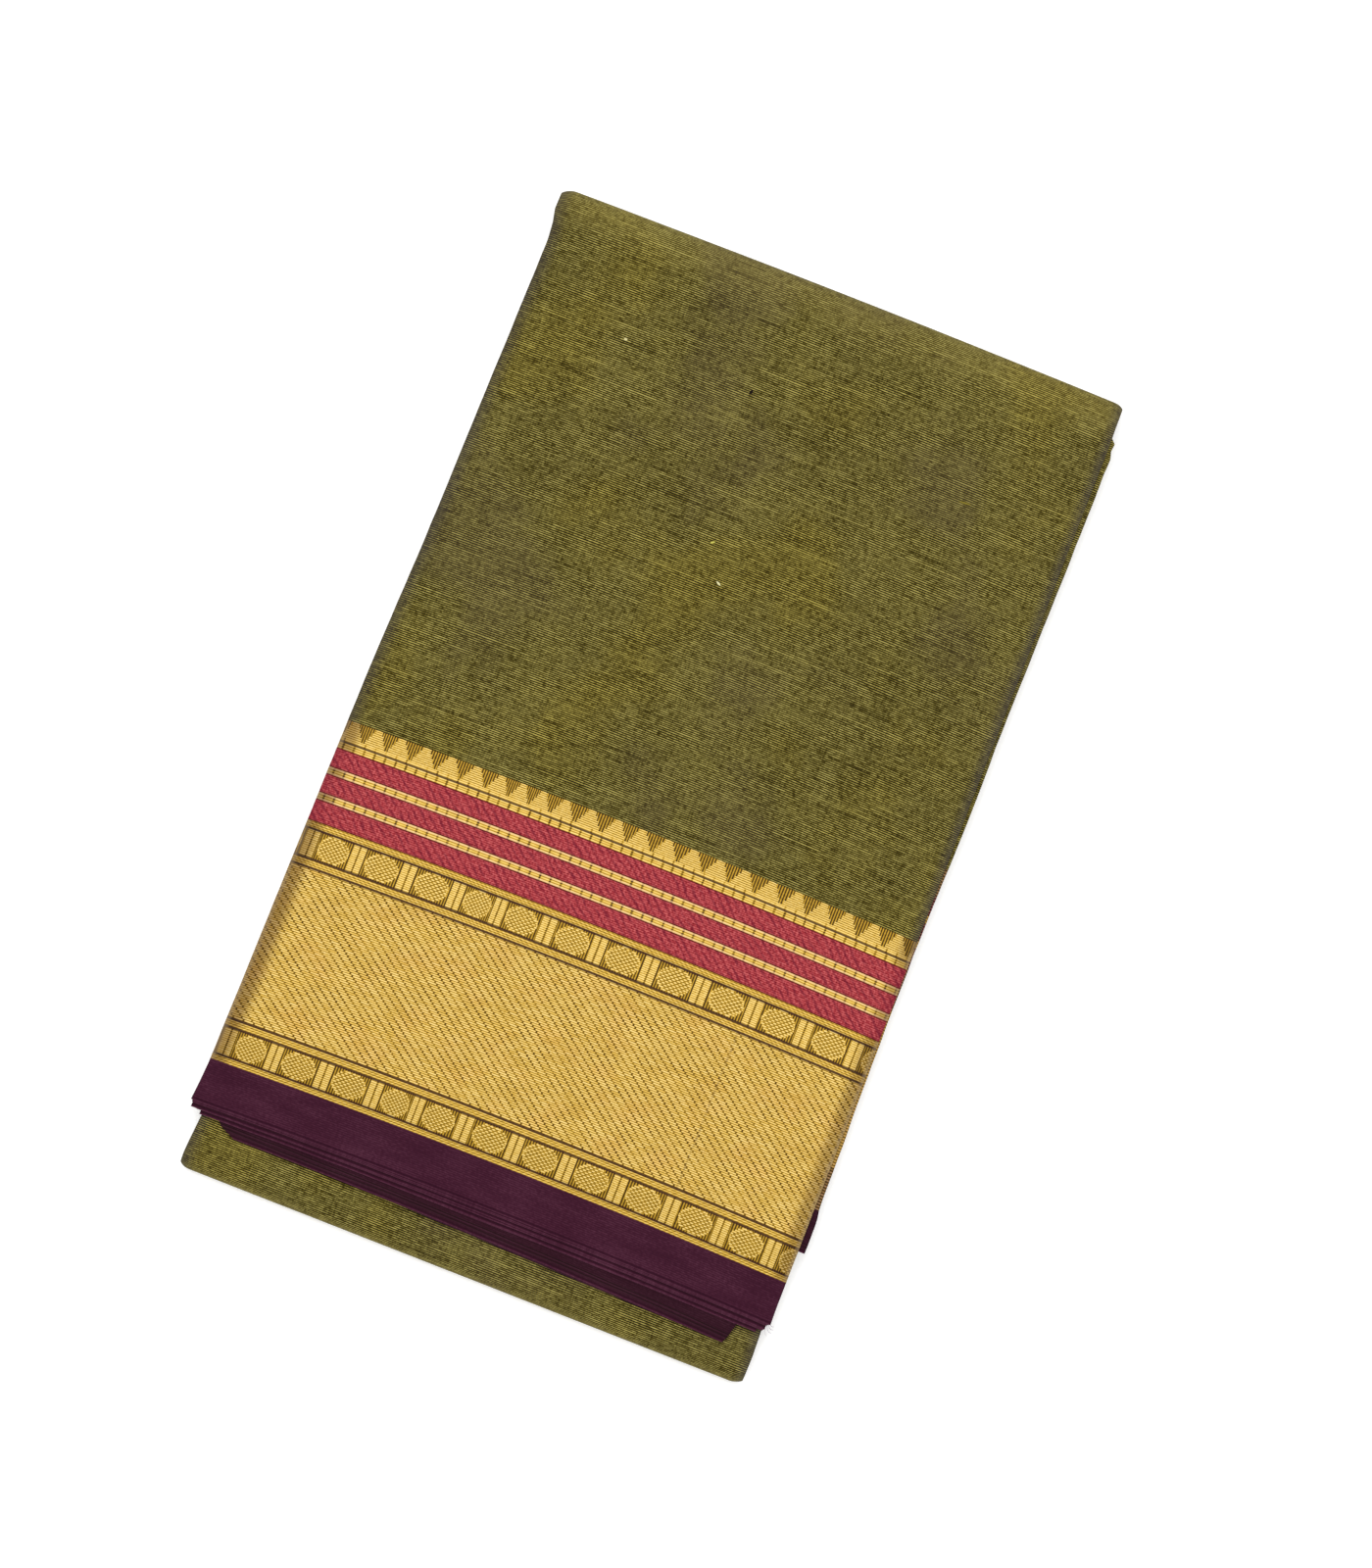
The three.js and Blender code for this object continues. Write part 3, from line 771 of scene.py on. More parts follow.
class Finish:
    """One cloth's material, built up from its weave."""

    def __init__(self, name):
        self.material = bpy.data.materials.new(name)
        self.material.use_nodes = True
        self.tree = self.material.node_tree
        self.tree.nodes.clear()
        self.u, self.v = self.places("weave")
        self.figure, self.inset = self.places("figure")

    def node(self, kind, settings, inputs, output=0, every=False):
        """Adds a node, with its settings first and then its sockets' values or links."""
        node = self.tree.nodes.new(kind)
        for key, value in settings.items():
            if key == "stops":
                set_stops(node.color_ramp, value)
            else:
                setattr(node, key, value)
        for key, value in inputs.items():
            if isinstance(value, Value):
                self.tree.links.new(value.socket, node.inputs[key])
            else:
                node.inputs[key].default_value = value
        if every:
            return [Value(self, socket) for socket in node.outputs]
        return Value(self, node.outputs[output]) if node.outputs else None

    def places(self, uv_map):
        """The two places that a UV map holds, in millimetres."""
        uv = self.node("ShaderNodeUVMap", {"uv_map": uv_map}, {})
        across, along, _ = self.node("ShaderNodeSeparateXYZ", {}, {0: uv}, every=True)
        return across * (1 / MM), along * (1 / MM)

    def point(self, x, y, z=0.0):
        return self.node("ShaderNodeCombineXYZ", {}, {0: x, 1: y, 2: z})

    def cloud(self, kind, x, y):
        """Noise around 0.5 over x and y, of a kind in NOISES."""
        x_steps, y_steps, seed, detail = NOISES[kind]
        point = self.point(x * x_steps, y * y_steps, seed)
        settings = {"noise_dimensions": "3D"}
        values = {"Vector": point, "Scale": 1.0, "Detail": detail}
        return self.node("ShaderNodeTexNoise", settings, values)

    def sway(self, kind, x, y):
        """Noise around 0 over x and y, of a kind in NOISES."""
        return self.cloud(kind, x, y) - 0.5

    def chance(self, x, y):
        """Another number from 0 to 1 for each pair."""
        settings = {"noise_dimensions": "2D"}
        return self.node("ShaderNodeTexWhiteNoise", settings, {"Vector": self.point(x, y)})

    def blend(self, factor, a, b, how="MIX"):
        settings = {"data_type": "RGBA", "blend_type": how, "clamp_factor": True}
        return self.node("ShaderNodeMix", settings, {0: factor, 6: a, 7: b}, output=2)

    def mix(self, factor, a, b):
        return self.node("ShaderNodeMix", {"data_type": "FLOAT"}, {0: factor, 2: a, 3: b})

    def shades(self, factor, stops):
        return self.node("ShaderNodeValToRGB", {"stops": stops}, {0: factor})

    def side_inset(self, left_scale, right_scale):
        """Distance in from the nearest side, a little ragged, in each side's own measure."""
        at_left = 1 - self.u.rises(-1.0, 1.0)
        ragged = self.inset + self.sway("ragged side", self.u, self.v) * 1.2
        return ragged / self.mix(at_left, right_scale, left_scale)

    def field_side_shade(self, colour):
        """Painted shade: the field looks darker and greyer where it turns down at the sides."""
        return self.blend(self.side_inset(1.1, 0.9).rises(6.0, -1.5) * 0.7, colour, SIDE_SHADE_GREY)

    def border_side_shade(self, colour):
        """Painted shade on the border: a darker band a little way in from each side, stronger at the
        left, and a dull greyish edge outside it, where the cloth curves down.
        """
        inset = self.side_inset(1.0, 0.85)
        # Painted shade in a band a little way in from the side, stronger at the left
        hollow_shade = inset.near(2.8, 0.8, 6.5) * (0.9 - self.u.rises(-1.0, 1.0) * 0.25)
        colour = self.blend(hollow_shade, colour, HOLLOW_SHADE_BROWN, how="MULTIPLY")
        return self.blend(inset.rises(2.4, 0.4) * 0.5, colour, SIDE_RIM_SHADE)

    def stripe_side_shade(self, colour):
        """Painted shade: the red stripes darken a little at the sides, where the cloth turns down."""
        return self.blend(self.side_inset(1.0, 0.85).rises(6.0, 0.0) * 0.4, colour, PLUM)

    def done(self, colour, height, relief, rough=0.85, metal=0.0):
        """Closes the material: relief is the height of the weave in millimetres."""
        values = {"Strength": BUMP_STRENGTH, "Distance": relief * MM, "Height": height}
        bump = self.node("ShaderNodeBump", {}, values)
        values = {"Base Color": colour, "Roughness": rough, "Metallic": metal, "Normal": bump}
        values["Specular IOR Level"] = GLOSS
        shader = self.node("ShaderNodeBsdfPrincipled", {}, values)
        self.node("ShaderNodeOutputMaterial", {}, {"Surface": shader})
        return self.material


# The weave: the pitch of its rows, which run along the border, and of the gold's columns, the length
# of the gold's floats, and the dashes' first tie
RIB = 0.81
COLUMN_PITCH = 1.05
FLOAT = 4.2
FIRST_TIE = -1.0

# Yarns as they look under the lamps. The three tuples are tints, in linear light.
OLIVE_DARK = srgb(30, 24, 0)
OLIVE = srgb(96, 84, 22)
OLIVE_LIGHT = srgb(184, 171, 96)
SHOT_GREY = srgb(84, 72, 62)
OLIVE_WARM = (0.7, 0.62, 0.1, 1.0)
# Painted light on the folds' rounded edges
OLIVE_FOLD_HIGHLIGHT = srgb(96, 86, 50)
# Painted shade where the field turns down at its sides
SIDE_SHADE_GREY = srgb(70, 66, 66)
# Painted shade along the border's sides: a dull greyish edge, and a darker band in from it
SIDE_RIM_SHADE = srgb(156, 134, 104)
HOLLOW_SHADE_BROWN = (0.42, 0.37, 0.38, 1.0)
GOLD_DARK = srgb(60, 44, 4)
GOLD_DEEP = srgb(130, 98, 28)
GOLD = srgb(206, 163, 56)
GOLD_PALE = srgb(242, 201, 100)
GOLD_LIGHT = srgb(255, 226, 148)
CREAM = srgb(236, 196, 164)
LINE_DARK = srgb(62, 32, 4)
ROSE_GOLD = (1.0, 0.78, 0.85, 1.0)
CRIMSON_DARK = srgb(108, 12, 32)
CRIMSON = srgb(168, 56, 64)
CRIMSON_LIGHT = srgb(214, 108, 108)
PLUM = srgb(108, 22, 48)
BROWN = srgb(86, 36, 20)
# Painted shade on the maroon, under other layers and beside their edges
MAROON_SHADE = srgb(38, 14, 28)
# Painted shadow and painted light on the layers' folded edges
EDGE_SHADOW = srgb(58, 42, 44)
EDGE_HIGHLIGHT = srgb(214, 172, 150)
THREAD_PALE = srgb(196, 182, 200)
THREAD_SHADE = srgb(140, 120, 146)
MAROON_DARK = srgb(54, 24, 40)
MAROON = srgb(70, 36, 51)
MAROON_LIGHT = srgb(104, 62, 80)

# In every weave the shade runs from 0 in its darkest thread to 1 in its lightest, and it is the height
# of the relief too
FIELD_SHADE = 0.21
WARMTH = 0.22


def field_weave(f, u, v):
    """Shot plain weave: fine rows of uneven brightness, crossed by finer threads, softly clouded."""
    uneven = v + f.sway("row spacing", u, v) * 0.7
    thread = (uneven / RIB).floor()
    ribs = (uneven / RIB).fract().near(0.5, 0.1, 0.5)
    streaks = f.cloud("row streaks", u, thread)
    slubs = f.cloud("slubs", u, v).rises(0.58, 0.7)
    long_rows = f.cloud("long rows", u, thread)
    shade = FIELD_SHADE + (ribs - 0.5) * (0.35 + streaks * 1.45)
    shade = shade + f.sway("row shades", u, thread) * 0.2 + (streaks - 0.5) * 0.2
    shade = shade + long_rows.rises(0.62, 0.74) * 0.16 - long_rows.rises(0.38, 0.26) * 0.14
    shade = shade + f.sway("cross threads", u, v) * 0.4 + f.sway("field fibres", u, v) * 0.35
    shade = shade + slubs * ribs * 0.35
    shade = shade + f.sway("field clouds", u, v) * 0.15 + f.sway("bars across the rows", u, v) * 0.15
    colour = f.shades(shade, [(0.05, OLIVE_DARK), (0.5, OLIVE), (0.95, OLIVE_LIGHT)])
    warmth = f.cloud("warmth", u, v)
    colour = f.blend(warmth.rises(0.5, 0.68) * WARMTH, colour, OLIVE_WARM, how="OVERLAY")
    return f.blend(warmth.rises(0.5, 0.35) * WARMTH, colour, SHOT_GREY), shade


def maroon_weave(f, u, v):
    """Plain maroon cotton, whose edge is a paler rim, painted light, beside a darker line, painted
    shadow.
    """
    shade = 0.5 + (v.wave(RIB) - 0.5) * 0.2
    shade = shade + f.sway("maroon fibres", u, v) * 0.55 + f.sway("maroon clouds", u, v) * 0.4
    # A paler rim of painted light along the edge, and a painted shadow line just in from it
    rim = v.rises(0.5, 0.3)
    shade = shade + rim * 0.14 - v.near(0.85, 0.15, 0.4) * 0.4
    return f.shades(shade, [(0.1, MAROON_DARK), (0.5, MAROON), (0.95, MAROON_LIGHT)]), shade


def gold_shades(f, shade):
    stops = [(0.0, GOLD_DARK), (0.25, GOLD_DEEP), (0.55, GOLD), (0.8, GOLD_PALE), (1.0, GOLD_LIGHT)]
    return f.shades(shade, stops)


def row_line(v):
    """1 along the middle of each row and 0 in the gap to the next."""
    return (v / RIB).fract().near(0.5, 0.15, 0.5)


def dark_line(w, place_at):
    """1 along the dark line at a place in w, and 0 away from it."""
    return w.near(place_at, 0.3, 0.65)


def outlined(f, dark, colour, shade):
    """Colour and height with the dark lines, which lie a little deeper."""
    return f.blend(dark * 0.92, colour, LINE_DARK), shade - dark * 0.6


# Where the painted shade of the old crease lies across the border
CREASE_SHADE_AT = 65.5


def crease_shade_line(f, colour):
    """Painted shade: a fine darker line along an old fold across the rows."""
    place_at = f.u + f.sway("pressed line", f.v, 2.0) * 1.5 - CREASE_SHADE_AT
    line = place_at.near(0.0, 0.15, 0.6) * f.cloud("pressed marks", f.u, f.v).rises(0.35, 0.6)
    return f.blend(line * 0.4, colour, LINE_DARK)


def twill_weave(f, zone):
    """Long gold floats, whose ties step one column aside with each row."""
    u, v = f.u, f.v
    thread = (v / RIB).floor()
    across = (u + thread * COLUMN_PITCH) / FLOAT
    tie = abs((across + 0.5).fract() - 0.5) * FLOAT
    luck = f.chance(across.floor(), thread)
    strength = f.cloud("tie strength", u, v).rises(0.25, 0.65)
    ties = tie.rises(0.6, 0.15) * (0.3 + strength * 0.4 + luck * 0.4)
    shade = 0.55 + (row_line(v) - 0.5) * 0.7 + (luck - 0.5) * 0.14 - ties * 0.75
    shade = shade + f.sway("twill clouds", u, v) * 0.16 + f.sway("twill fibres", u, v) * 0.45
    low, high = ZONES[zone]
    dark = dark_line(v, low - BEAD_LINES[0]).most(dark_line(v, high + BEAD_LINES[0]))
    rose = f.cloud("rose patches", u, v).rises(0.45, 0.7)
    colour = f.blend(rose * 0.22, gold_shades(f, shade), ROSE_GOLD, how="MULTIPLY")
    colour, shade = outlined(f, dark, colour, shade)
    return crease_shade_line(f, colour), shade, 1.0


ROPE_PITCH = 2.05
ROPE_SLANT = 1.3
ROPE_ROW = 0.84


def rope_weave(f, u, w):
    """Narrow gold stripe of fine rows, with short diagonal strokes."""
    strokes = (u + w * ROPE_SLANT).wave(ROPE_PITCH)
    rows = w.wave(ROPE_ROW)
    return 0.56 + (rows - 0.5) * 0.55 + (strokes - 0.5) * 0.2 + f.sway("rope fibres", u, w) * 0.5


BEAD_PITCH = FIGURE_STEP * 2
INNER_FIRST_BEAD = 0.0
OUTER_FIRST_BEAD = -1.9
BEAD_HALF_WIDTH = 6.8
BEAD_MIDDLE = 9.05
BEAD_HALF_HEIGHT = 5.35
BEAD_LINES = (0.18, 3.43, 14.65)
BAR_FROM = 7.65


def bead_weave(f, zone):
    """Oval beads between pairs of bars, with rope stripes beside them. w runs from the twill's side."""
    low, high = ZONES[zone]
    outer = zone == "outer_bead_band"
    w = high - f.v if outer else f.v - low
    u = f.figure - (OUTER_FIRST_BEAD if outer else INNER_FIRST_BEAD)
    side = abs((u / BEAD_PITCH + 0.5).fract() - 0.5) * BEAD_PITCH
    thread = (w / RIB).floor()
    fibres = f.sway("figure fibres", u, w)
    base = 0.55 + (row_line(w) - 0.5) * 0.56 + fibres * 0.6
    ragged = f.chance(thread, (u / BEAD_PITCH).floor()) * 0.06 - 0.03
    across = side / BEAD_HALF_WIDTH
    up = ((thread + 0.5) * RIB - BEAD_MIDDLE) / BEAD_HALF_HEIGHT
    oval = (across * across + up * up).sqrt() + ragged
    checks = (u + thread * COLUMN_PITCH).wave(2 * COLUMN_PITCH).rises(0.25, 0.8)
    bead = base + 0.14 - checks * oval.rises(0.97, 0.85) * 0.5
    ticks = 0.28 + (u.wave(COLUMN_PITCH) - 0.5) * 0.55 + fibres * 0.4
    ground = f.mix(oval.rises(1.02, 0.96), ticks - side.near(BAR_FROM - 0.3, 0.2, 0.45) * 0.12, bead)
    gap = side.rises(BEAD_PITCH / 2 - 0.5, BEAD_PITCH / 2 - 0.2)
    mixed = f.mix(side.rises(BAR_FROM - 0.15, BAR_FROM + 0.15), ground, base + 0.1 - gap * 0.5)
    in_rope = (w.within(0.0, BEAD_LINES[1]) + w.rises(BEAD_LINES[2], BEAD_LINES[2] + 0.1)).least(1.0)
    shade = f.mix(in_rope, mixed, rope_weave(f, u, w))
    dark = dark_line(w, BEAD_LINES[0])
    for line in BEAD_LINES[1:]:
        dark = dark.most(dark_line(w, line))
    return *outlined(f, dark, gold_shades(f, shade), shade), 1 - dark


def dash_shade(f, u, w, width):
    """Three fine gold lines with a tie every so often. w runs across the stripe."""
    lines = w.wave(width / 3, width / 6)
    turn = (u - FIRST_TIE) / FLOAT + 0.5 + f.cloud("dash turns", u, width) * 0.25
    luck = f.chance(turn.floor(), width)
    tie = (abs(turn.fract() - 0.5) * FLOAT).rises(0.6, 0.2) * (0.6 + luck * 0.35)
    edges = abs(w - width / 2).rises(width / 2 - 0.5, width / 2 - 0.15)
    shade = 0.66 + (lines - 0.5) * 0.5 + edges * 0.2 + f.sway("dash fibres", u, w) * 0.5
    return shade - tie * 0.55


def gold_stripe_weave(f, zone):
    """A dashed gold stripe whose two edges are creamy."""
    low, high = ZONES[zone]
    shade = dash_shade(f, f.u, f.v - low, high - low)
    edges = f.v.near(low + 0.3, 0.1, 0.5).most(f.v.near(high - 0.3, 0.1, 0.5))
    return f.blend(edges * 0.5, gold_shades(f, shade), CREAM), shade, 1.0


TEMPLE_DASH = 2.5
TEMPLE_LINE = 2.75
TEMPLE_ROW = 4.6
TEMPLE_STEP = RIB * 2
TEMPLE_NARROWING = 0.9
TEMPLE_BASE = 4.3


def temple_weave(f, zone):
    """Stepped triangles over a dashed stripe, with fine upright lines between them."""
    u = f.u
    w = f.v - ZONES[zone][0]
    q = abs((f.figure / FIGURE_STEP + 0.5).fract() - 0.5) * FIGURE_STEP
    step = ((w - TEMPLE_ROW) / TEMPLE_STEP).floor().most(0.0)
    inside = (TEMPLE_BASE - step * TEMPLE_NARROWING - q).rises(-0.15, 0.15)
    rows = row_line(w)
    fibres = f.sway("figure fibres", u, w)
    gold = 0.53 + (rows - 0.5) * 0.7 + fibres * 0.5
    lines = 0.26 + (f.figure.wave(COLUMN_PITCH) - 0.5) * 0.6 + fibres * 0.4
    shade = f.mix(inside, lines, gold)
    row = w.rises(TEMPLE_ROW, TEMPLE_ROW - 0.15)
    ties = (abs((u / FLOAT).fract() - 0.5) * FLOAT).rises(0.5, 0.15) * f.chance((u / FLOAT).floor(), 3.0)
    plain = 0.66 + (rows - 0.5) * 0.5 + fibres * 0.4 - ties * 0.5
    shade = f.mix(row, shade, plain)
    shade = f.mix(w.rises(TEMPLE_DASH + 0.1, TEMPLE_DASH), shade, dash_shade(f, u, w, TEMPLE_DASH))
    dark = w.near(TEMPLE_LINE, 0.25, 0.55)
    return f.blend(dark * 0.9, gold_shades(f, shade), LINE_DARK), shade - dark * 0.6, 1 - dark


RED_PITCH = 3.7
RED_SLANT = 1.15


def red_weave(f, zone):
    """Red stripe with soft slanting strokes and brown edges."""
    u, v = f.u, f.v
    low, high = ZONES[zone]
    slant = (u + v * RED_SLANT + f.cloud("red slant", u, v) * 5.0).wave(RED_PITCH)
    patches = f.cloud("red patches", u, v)
    shade = 0.58 + (v.wave(RIB) - 0.5) * 0.4 + f.sway("red fibres", u, v) * 1.3
    colour = f.shades(shade, [(0.1, CRIMSON_DARK), (0.5, CRIMSON), (0.95, CRIMSON_LIGHT)])
    colour = f.blend(slant.rises(0.4, 1.0) * (0.2 + patches.rises(0.3, 0.65) * 0.5), colour, PLUM)
    edge = v.near(low, 0.3, 0.75).most(v.near(high, 0.3, 0.7))
    return f.blend(edge * 0.8, colour, BROWN), shade - edge * 0.4


# Slubs and flecks caught in the field, by place on the front
FLECKS = (
    {"x": -19.0, "y": 153.9, "length": 0.9, "width": 0.6, "turn": 70.0, "colour": srgb(34, 28, 10)},
    {"x": -11.8, "y": 94.9, "length": 1.0, "width": 0.4, "turn": 35.0, "colour": srgb(206, 200, 96)},
    {"x": -4.0, "y": 81.1, "length": 1.1, "width": 0.4, "turn": -28.0, "colour": srgb(232, 226, 172)},
    {"x": -71.1, "y": 155.6, "length": 0.7, "width": 0.5, "turn": 0.0, "colour": srgb(216, 206, 150)},
    {"x": 72.6, "y": 144.5, "length": 2.4, "width": 0.35, "turn": 4.0, "colour": srgb(142, 128, 52)},
)


def add_flecks(f, colour):
    for fleck in FLECKS:
        turn = math.radians(fleck["turn"])
        dx, dy = f.u - fleck["x"], f.v - front_at(fleck["y"])
        along = (dx * math.cos(turn) + dy * math.sin(turn)) / fleck["length"]
        aside = (dy * math.cos(turn) - dx * math.sin(turn)) / fleck["width"]
        spot = (along * along + aside * aside).rises(1.4, 0.4)
        colour = f.blend(spot, colour, fleck["colour"])
    return colour


# Painted light on the folds' rounded edges: how much lighter, and how far from the turn it is so all over
# and at all
FOLD_HIGHLIGHT = 0.45
TOP_HIGHLIGHT_REACH = (10.0, 26.0)
LOWER_HIGHLIGHT_REACH = (2.0, 7.0)
LOWER_TURN = LOWER_FOLD_START + math.pi * LOWER_RADIUS / 2
TOP_TURN = TOP_FOLD_START + math.pi * TOP_RADIUS / 2


def field_finish():
    """The field's cloth, with painted light on the folds' rounded edges, which look lighter than the
    rest.
    """
    f = Finish("olive shot cotton")
    colour, shade = field_weave(f, f.u, f.v)
    # Painted light on the rounded folds
    fold_highlight = f.v.near(TOP_TURN, *TOP_HIGHLIGHT_REACH).most(f.v.near(LOWER_TURN, *LOWER_HIGHLIGHT_REACH)) * FOLD_HIGHLIGHT
    colour = add_flecks(f, f.blend(fold_highlight, colour, OLIVE_FOLD_HIGHLIGHT, how="SCREEN"))
    return f.done(f.field_side_shade(colour), shade, 0.05, rough=0.88)


# Painted shade: how much darker the selvedge is under other layers, and where the edges of layers over it
# lie, drawn as painted light and painted shadow lines
LAYER_SHADE = 0.55
PACK_SHADE = 0.5
PAINTED_STEP_EDGES = (2.2, 3.7)


def selvedge_finish(name, edge, depth, steps=()):
    """Maroon selvedge with painted shade, darker by depth away from its edge, as it is between other
    layers. Steps are where the edges of layers over it lie, drawn as a painted light line beside a
    painted shadow line."""
    f = Finish(name)
    v = f.v - edge
    colour, shade = maroon_weave(f, f.u, v)
    for step in steps:
        line = v + f.sway("pressed edges", f.u, step) * 2.0 - step
        # A painted light line at each step's edge and a painted shadow line beside it
        colour = f.blend(line.near(-0.25, 0.1, 0.35) * 0.3, colour, MAROON_LIGHT)
        colour = f.blend(line.near(0.15, 0.1, 0.35) * 0.7, colour, MAROON_SHADE)
    # Painted shade, deeper away from the edge, under the other layers
    return f.done(f.blend(v.rises(0.4, 1.6) * depth, colour, MAROON_SHADE), shade, 0.04, rough=0.9)


# The gold zones: what draws their weave, how high it stands and their slot
GOLD_ZONES = {
    "outer_bead_band": (bead_weave, 0.08, "bead_weave"),
    "twill_band": (twill_weave, 0.08, "gold_twill"),
    "inner_bead_band": (bead_weave, 0.08, "bead_weave"),
    "lower_gold_stripe": (gold_stripe_weave, 0.06, "gold_twill"),
    "upper_gold_stripe": (gold_stripe_weave, 0.06, "gold_twill"),
    "temple_band": (temple_weave, 0.07, "bead_weave"),
}
GOLD_ROUGH = 0.55
GOLD_METAL = 0.2


def zone_finish(zone):
    """The material and the slot of a woven zone. Gold yarn is dull metal, but not in the dark lines."""
    if zone == "selvedge":
        return selvedge_finish("maroon cotton", 0.0, 0.0), "maroon_selvedge"
    f = Finish(zone.replace("_", " "))
    if zone not in GOLD_ZONES:
        colour, shade = red_weave(f, zone)
        return f.done(f.stripe_side_shade(colour), shade, 0.05, rough=0.8), "red_stripe"
    weave, relief, slot = GOLD_ZONES[zone]
    colour, shade, gold = weave(f, zone)
    return f.done(f.border_side_shade(colour), shade, relief, GOLD_ROUGH, gold * GOLD_METAL), slot


BORDER_STOPS = (
    ("selvedge", MAROON_DARK),
    ("outer_bead_band", GOLD_DEEP),
    ("twill_band", GOLD),
    ("inner_bead_band", GOLD_DEEP),
    ("lower_red_stripe", CRIMSON_DARK),
    ("lower_gold_stripe", GOLD),
    ("middle_red_stripe", CRIMSON_DARK),
    ("upper_gold_stripe", GOLD),
    ("upper_red_stripe", CRIMSON_DARK),
    ("temple_band", GOLD_DEEP),
)
RAMP_LENGTH = 200.0
EDGE_TURN = 1.15


def layers_finish(name, edge):
    """The whole cloth's zones in order, for the edges of the layers, with painted shadow in the gaps
    between their folded edges and painted light on the folds. edge is where the selvedge lies.
    """
    f = Finish(name)
    v = f.v - edge
    field, shade = field_weave(f, f.u, v)
    stops = []
    for zone, colour in BORDER_STOPS:
        low, high = ZONES[zone]
        stops.append(((low + 0.05) / RAMP_LENGTH, colour))
        stops.append(((high - 0.05) / RAMP_LENGTH, colour))
    zones = f.shades(v / RAMP_LENGTH, stops)
    # Painted shadow between the layers' folded edges and painted light on them
    turns = v.wave(EDGE_TURN) + f.sway("layer edges", v, 3.0) * 0.9
    zones = f.blend(turns.rises(0.35, 0.85) * 0.8, zones, EDGE_SHADOW)
    zones = f.blend(turns.rises(0.3, 0.0) * 0.5, zones, EDGE_HIGHLIGHT)
    colour = f.blend(v.rises(BORDER_WIDTH - 0.05, BORDER_WIDTH + 0.05), zones, field)
    return f.done(colour, shade, 0.05, rough=0.8)


def thread_finish():
    f = Finish("pale cotton thread")
    colour = f.blend(f.cloud("thread", f.u, f.v), THREAD_SHADE, THREAD_PALE)
    return f.done(colour, f.u.wave(0.3), 0.02, rough=0.9)


TUCKED_END = tucked_at(TUCKED_EDGE)


def build_outer_layer():
    """One running cloth, from the front selvedge round both turns to the tucked end."""
    stripes = []
    loose = loose_ends("loose_warp_ends", thread_finish())
    for zone, (low, high) in ZONES.items():
        material, slot = zone_finish(zone)
        piece = outer_cloth(
            f"saree_{zone}", low, high, SHEET_STEP, material, slot, [f"front_{zone}"],
        )
        if (high - low) * MM < NARROWEST_SHEET:
            stripes.append(piece)
    field = field_finish()
    tucked_in = tucked_at(LOWER_FOLD_REACH)
    stretches = (
        ("field", BORDER_WIDTH, BACK_START, SHEET_STEP, "field_cloth", ["front_field", "top_fold"]),
        ("back", BACK_START, LOWER_FOLD_START, BACK_STEP, "field_cloth", ["back_stretch"]),
        ("lower_fold", LOWER_FOLD_START, tucked_in, SHEET_STEP, "field_cloth", ["lower_fold"]),
        ("tucked", tucked_in, TUCKED_END, BACK_STEP, "inner_cloth", []),
    )
    for name, start, end, step, slot, nodes in stretches:
        trims = stripes if name == "field" else ()
        outer_cloth(f"saree_{name}", start, end, step, field, slot, nodes)


def build_lower_layers():
    """The layers under the outermost one, and the fan of their selvedges."""
    lower_selvedge = selvedge_finish("maroon cotton of the lower layers", 0.0, LAYER_SHADE)
    first_layers = layers_finish("first pack's layers", 0.0)
    second_layers = layers_finish("second pack's layers", front_at(SECOND_EDGE))
    third_layers = layers_finish("third pack's layers", front_at(THIRD_EDGE))
    pack_layers("front_layers", 0, SELVEDGE_LAYER_REACH - 1, TUCKED_END, first_layers, "inner_cloth")
    for index, layer in enumerate(SELVEDGE_LAYERS):
        selvedge_layer(index, layer, lower_selvedge)
    for pack, name, edge, material, inner_nodes in (
        (1, "second_pack", SECOND_EDGE, second_layers, ["inner_layers"]),
        (2, "third_pack", THIRD_EDGE, third_layers, []),
    ):
        start = front_at(edge)
        ends = (start + SELVEDGE_WIDTH, start + BORDER_WIDTH)
        under = f"{name} selvedge".replace("_", " ")
        maroon = selvedge_finish(under, start, PACK_SHADE, PAINTED_STEP_EDGES)
        stretches = (
            ("selvedge", start, ends[0], maroon, "maroon_selvedge", [f"{name}_selvedge"]),
            ("border", ends[0], ends[1], material, "bead_weave", [f"{name}_border"]),
            ("inner", ends[1], TUCKED_END, material, "inner_cloth", inner_nodes),
        )
        for part, low, high, finish, slot, nodes in stretches:
            pack_layers(f"{name}_{part}_layers", pack, low, high, finish, slot, nodes)


# Floor and lamps, in metres and watts
FLOOR_SIZE = 6.0
FLOOR_LEVEL = -0.0002
FLOOR_GLOW = 0.3
SKY_STRENGTH = 0.8
SOFTBOX_SIZE = 1.6
SOFTBOX_POWER = 36
SOFTBOX_AT = (-0.25, 0.45, 2.4)


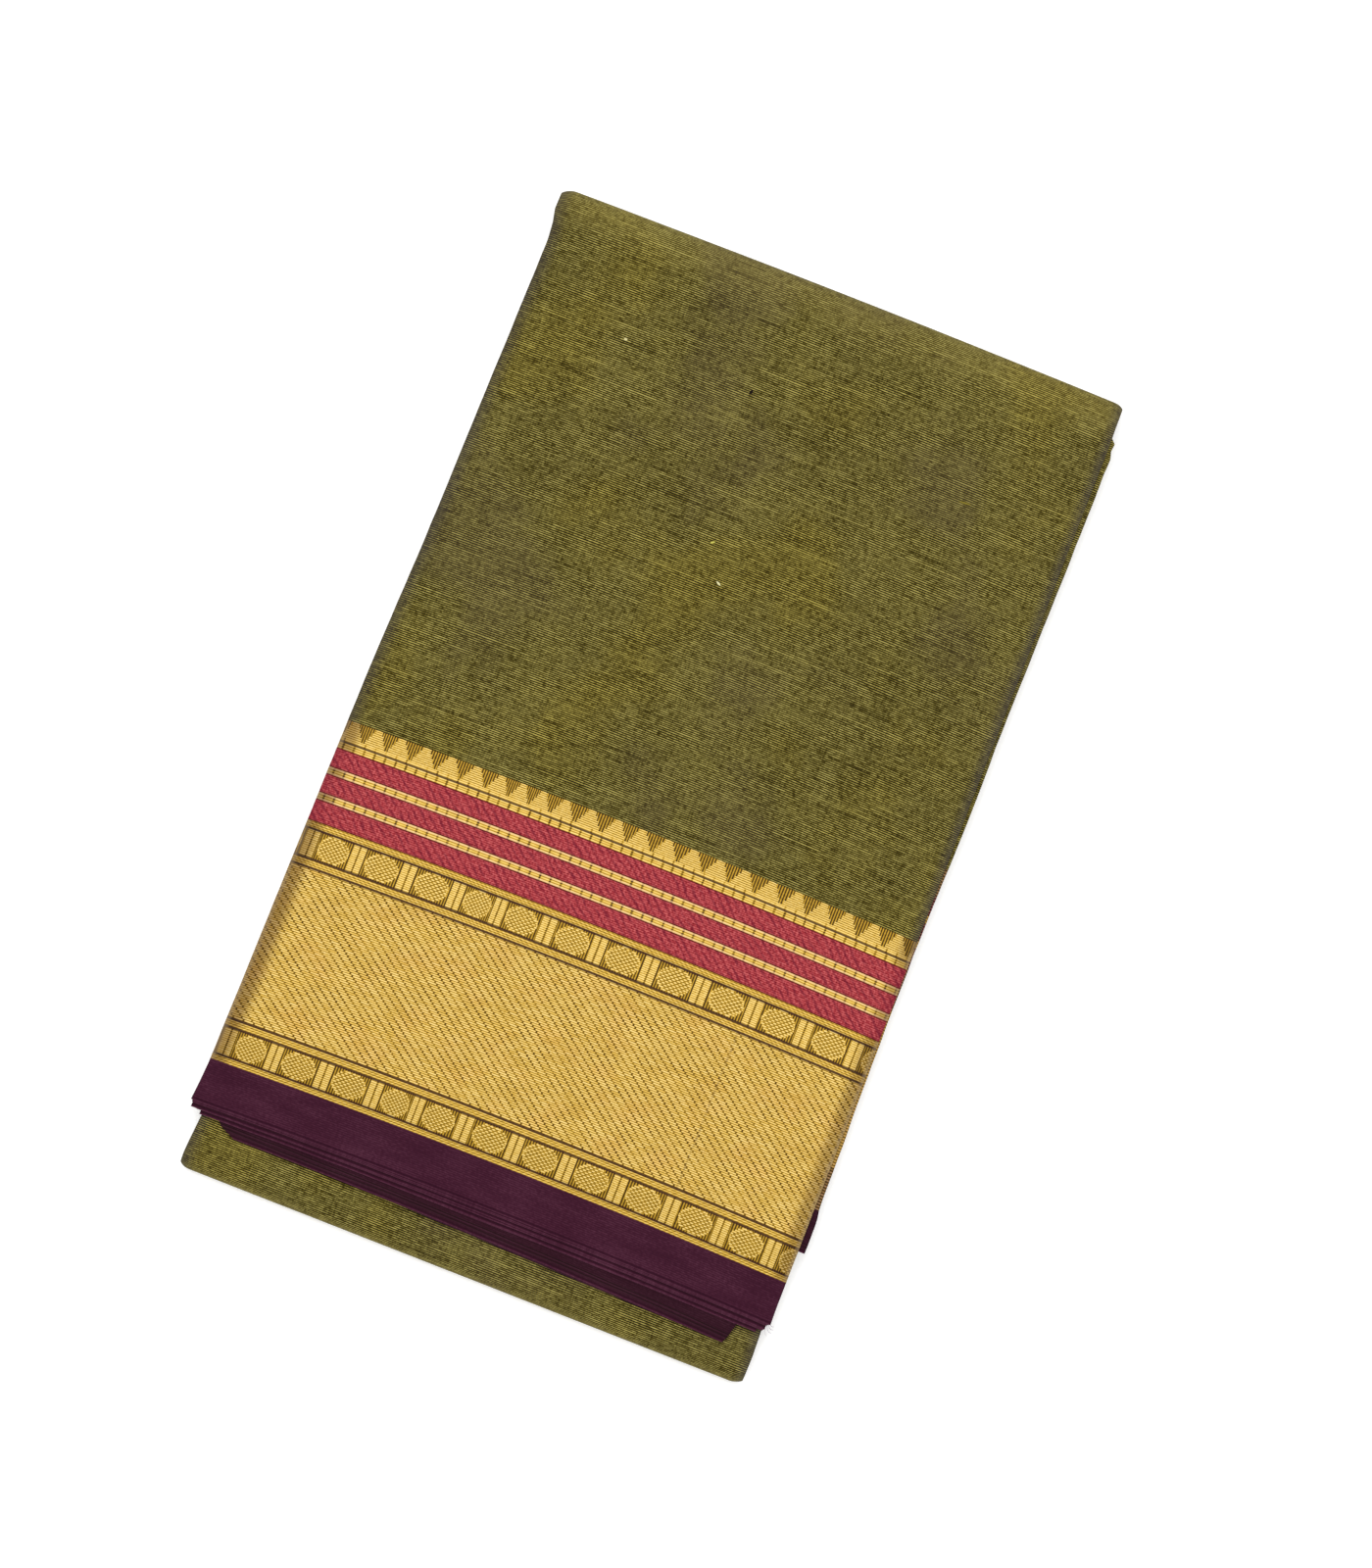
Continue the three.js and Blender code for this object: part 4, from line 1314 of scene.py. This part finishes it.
def build_studio():
    """A plain pale floor, a little below the pile."""
    bm = bmesh.new()
    bmesh.ops.create_grid(bm, x_segments=1, y_segments=1, size=FLOOR_SIZE / 2)
    bmesh.ops.translate(bm, verts=bm.verts, vec=(0, 0, FLOOR_LEVEL))
    mesh = mesh_of("floor", bm)
    material = bpy.data.materials.new("pale floor")
    material.use_nodes = True
    shader = material.node_tree.nodes["Principled BSDF"]
    shader.inputs["Base Color"].default_value = (0.92, 0.92, 0.92, 1)
    shader.inputs["Emission Color"].default_value = (1, 1, 1, 1)
    shader.inputs["Emission Strength"].default_value = FLOOR_GLOW
    shader.inputs["Roughness"].default_value = 0.9
    mesh.materials.append(material)
    put_in_scene("floor", mesh)


def build_light():
    """Even white light from all round, and a softbox high above."""
    world = bpy.data.worlds.new("studio")
    world.use_nodes = True
    sky = world.node_tree.nodes["Background"]
    sky.inputs["Color"].default_value = (1, 1, 1, 1)
    sky.inputs["Strength"].default_value = SKY_STRENGTH
    bpy.context.scene.world = world
    lamp = bpy.data.lights.new("overhead softbox", "AREA")
    lamp.shape = "SQUARE"
    lamp.size = SOFTBOX_SIZE
    lamp.energy = SOFTBOX_POWER
    softbox = put_in_scene("overhead softbox", lamp)
    softbox.location = SOFTBOX_AT
    softbox.rotation_euler = Vector(SOFTBOX_AT).to_track_quat("Z", "Y").to_euler()
    bpy.context.scene.view_settings.view_transform = "Standard"


# The camera looks straight down from above the pile, turned as the photograph is
CAMERA_TURN = 21.37
CAMERA_ABOVE = 4.0
CAMERA_X = 0.0124
CAMERA_Y = 0.0051
PHOTO_HEIGHT_MM = 600.0
SENSOR = 36.0


def build_camera():
    data = bpy.data.cameras.new("camera")
    data.sensor_width = SENSOR
    data.lens = SENSOR * CAMERA_ABOVE / (PHOTO_HEIGHT_MM * MM)
    camera = put_in_scene("camera", data)
    camera.location = (CAMERA_X, CAMERA_Y, HEIGHT * MM + CAMERA_ABOVE)
    camera.rotation_euler = (0, 0, math.radians(CAMERA_TURN))
    bpy.context.scene.camera = camera


build_camera()
build_light()
build_studio()
build_outer_layer()
build_lower_layers()
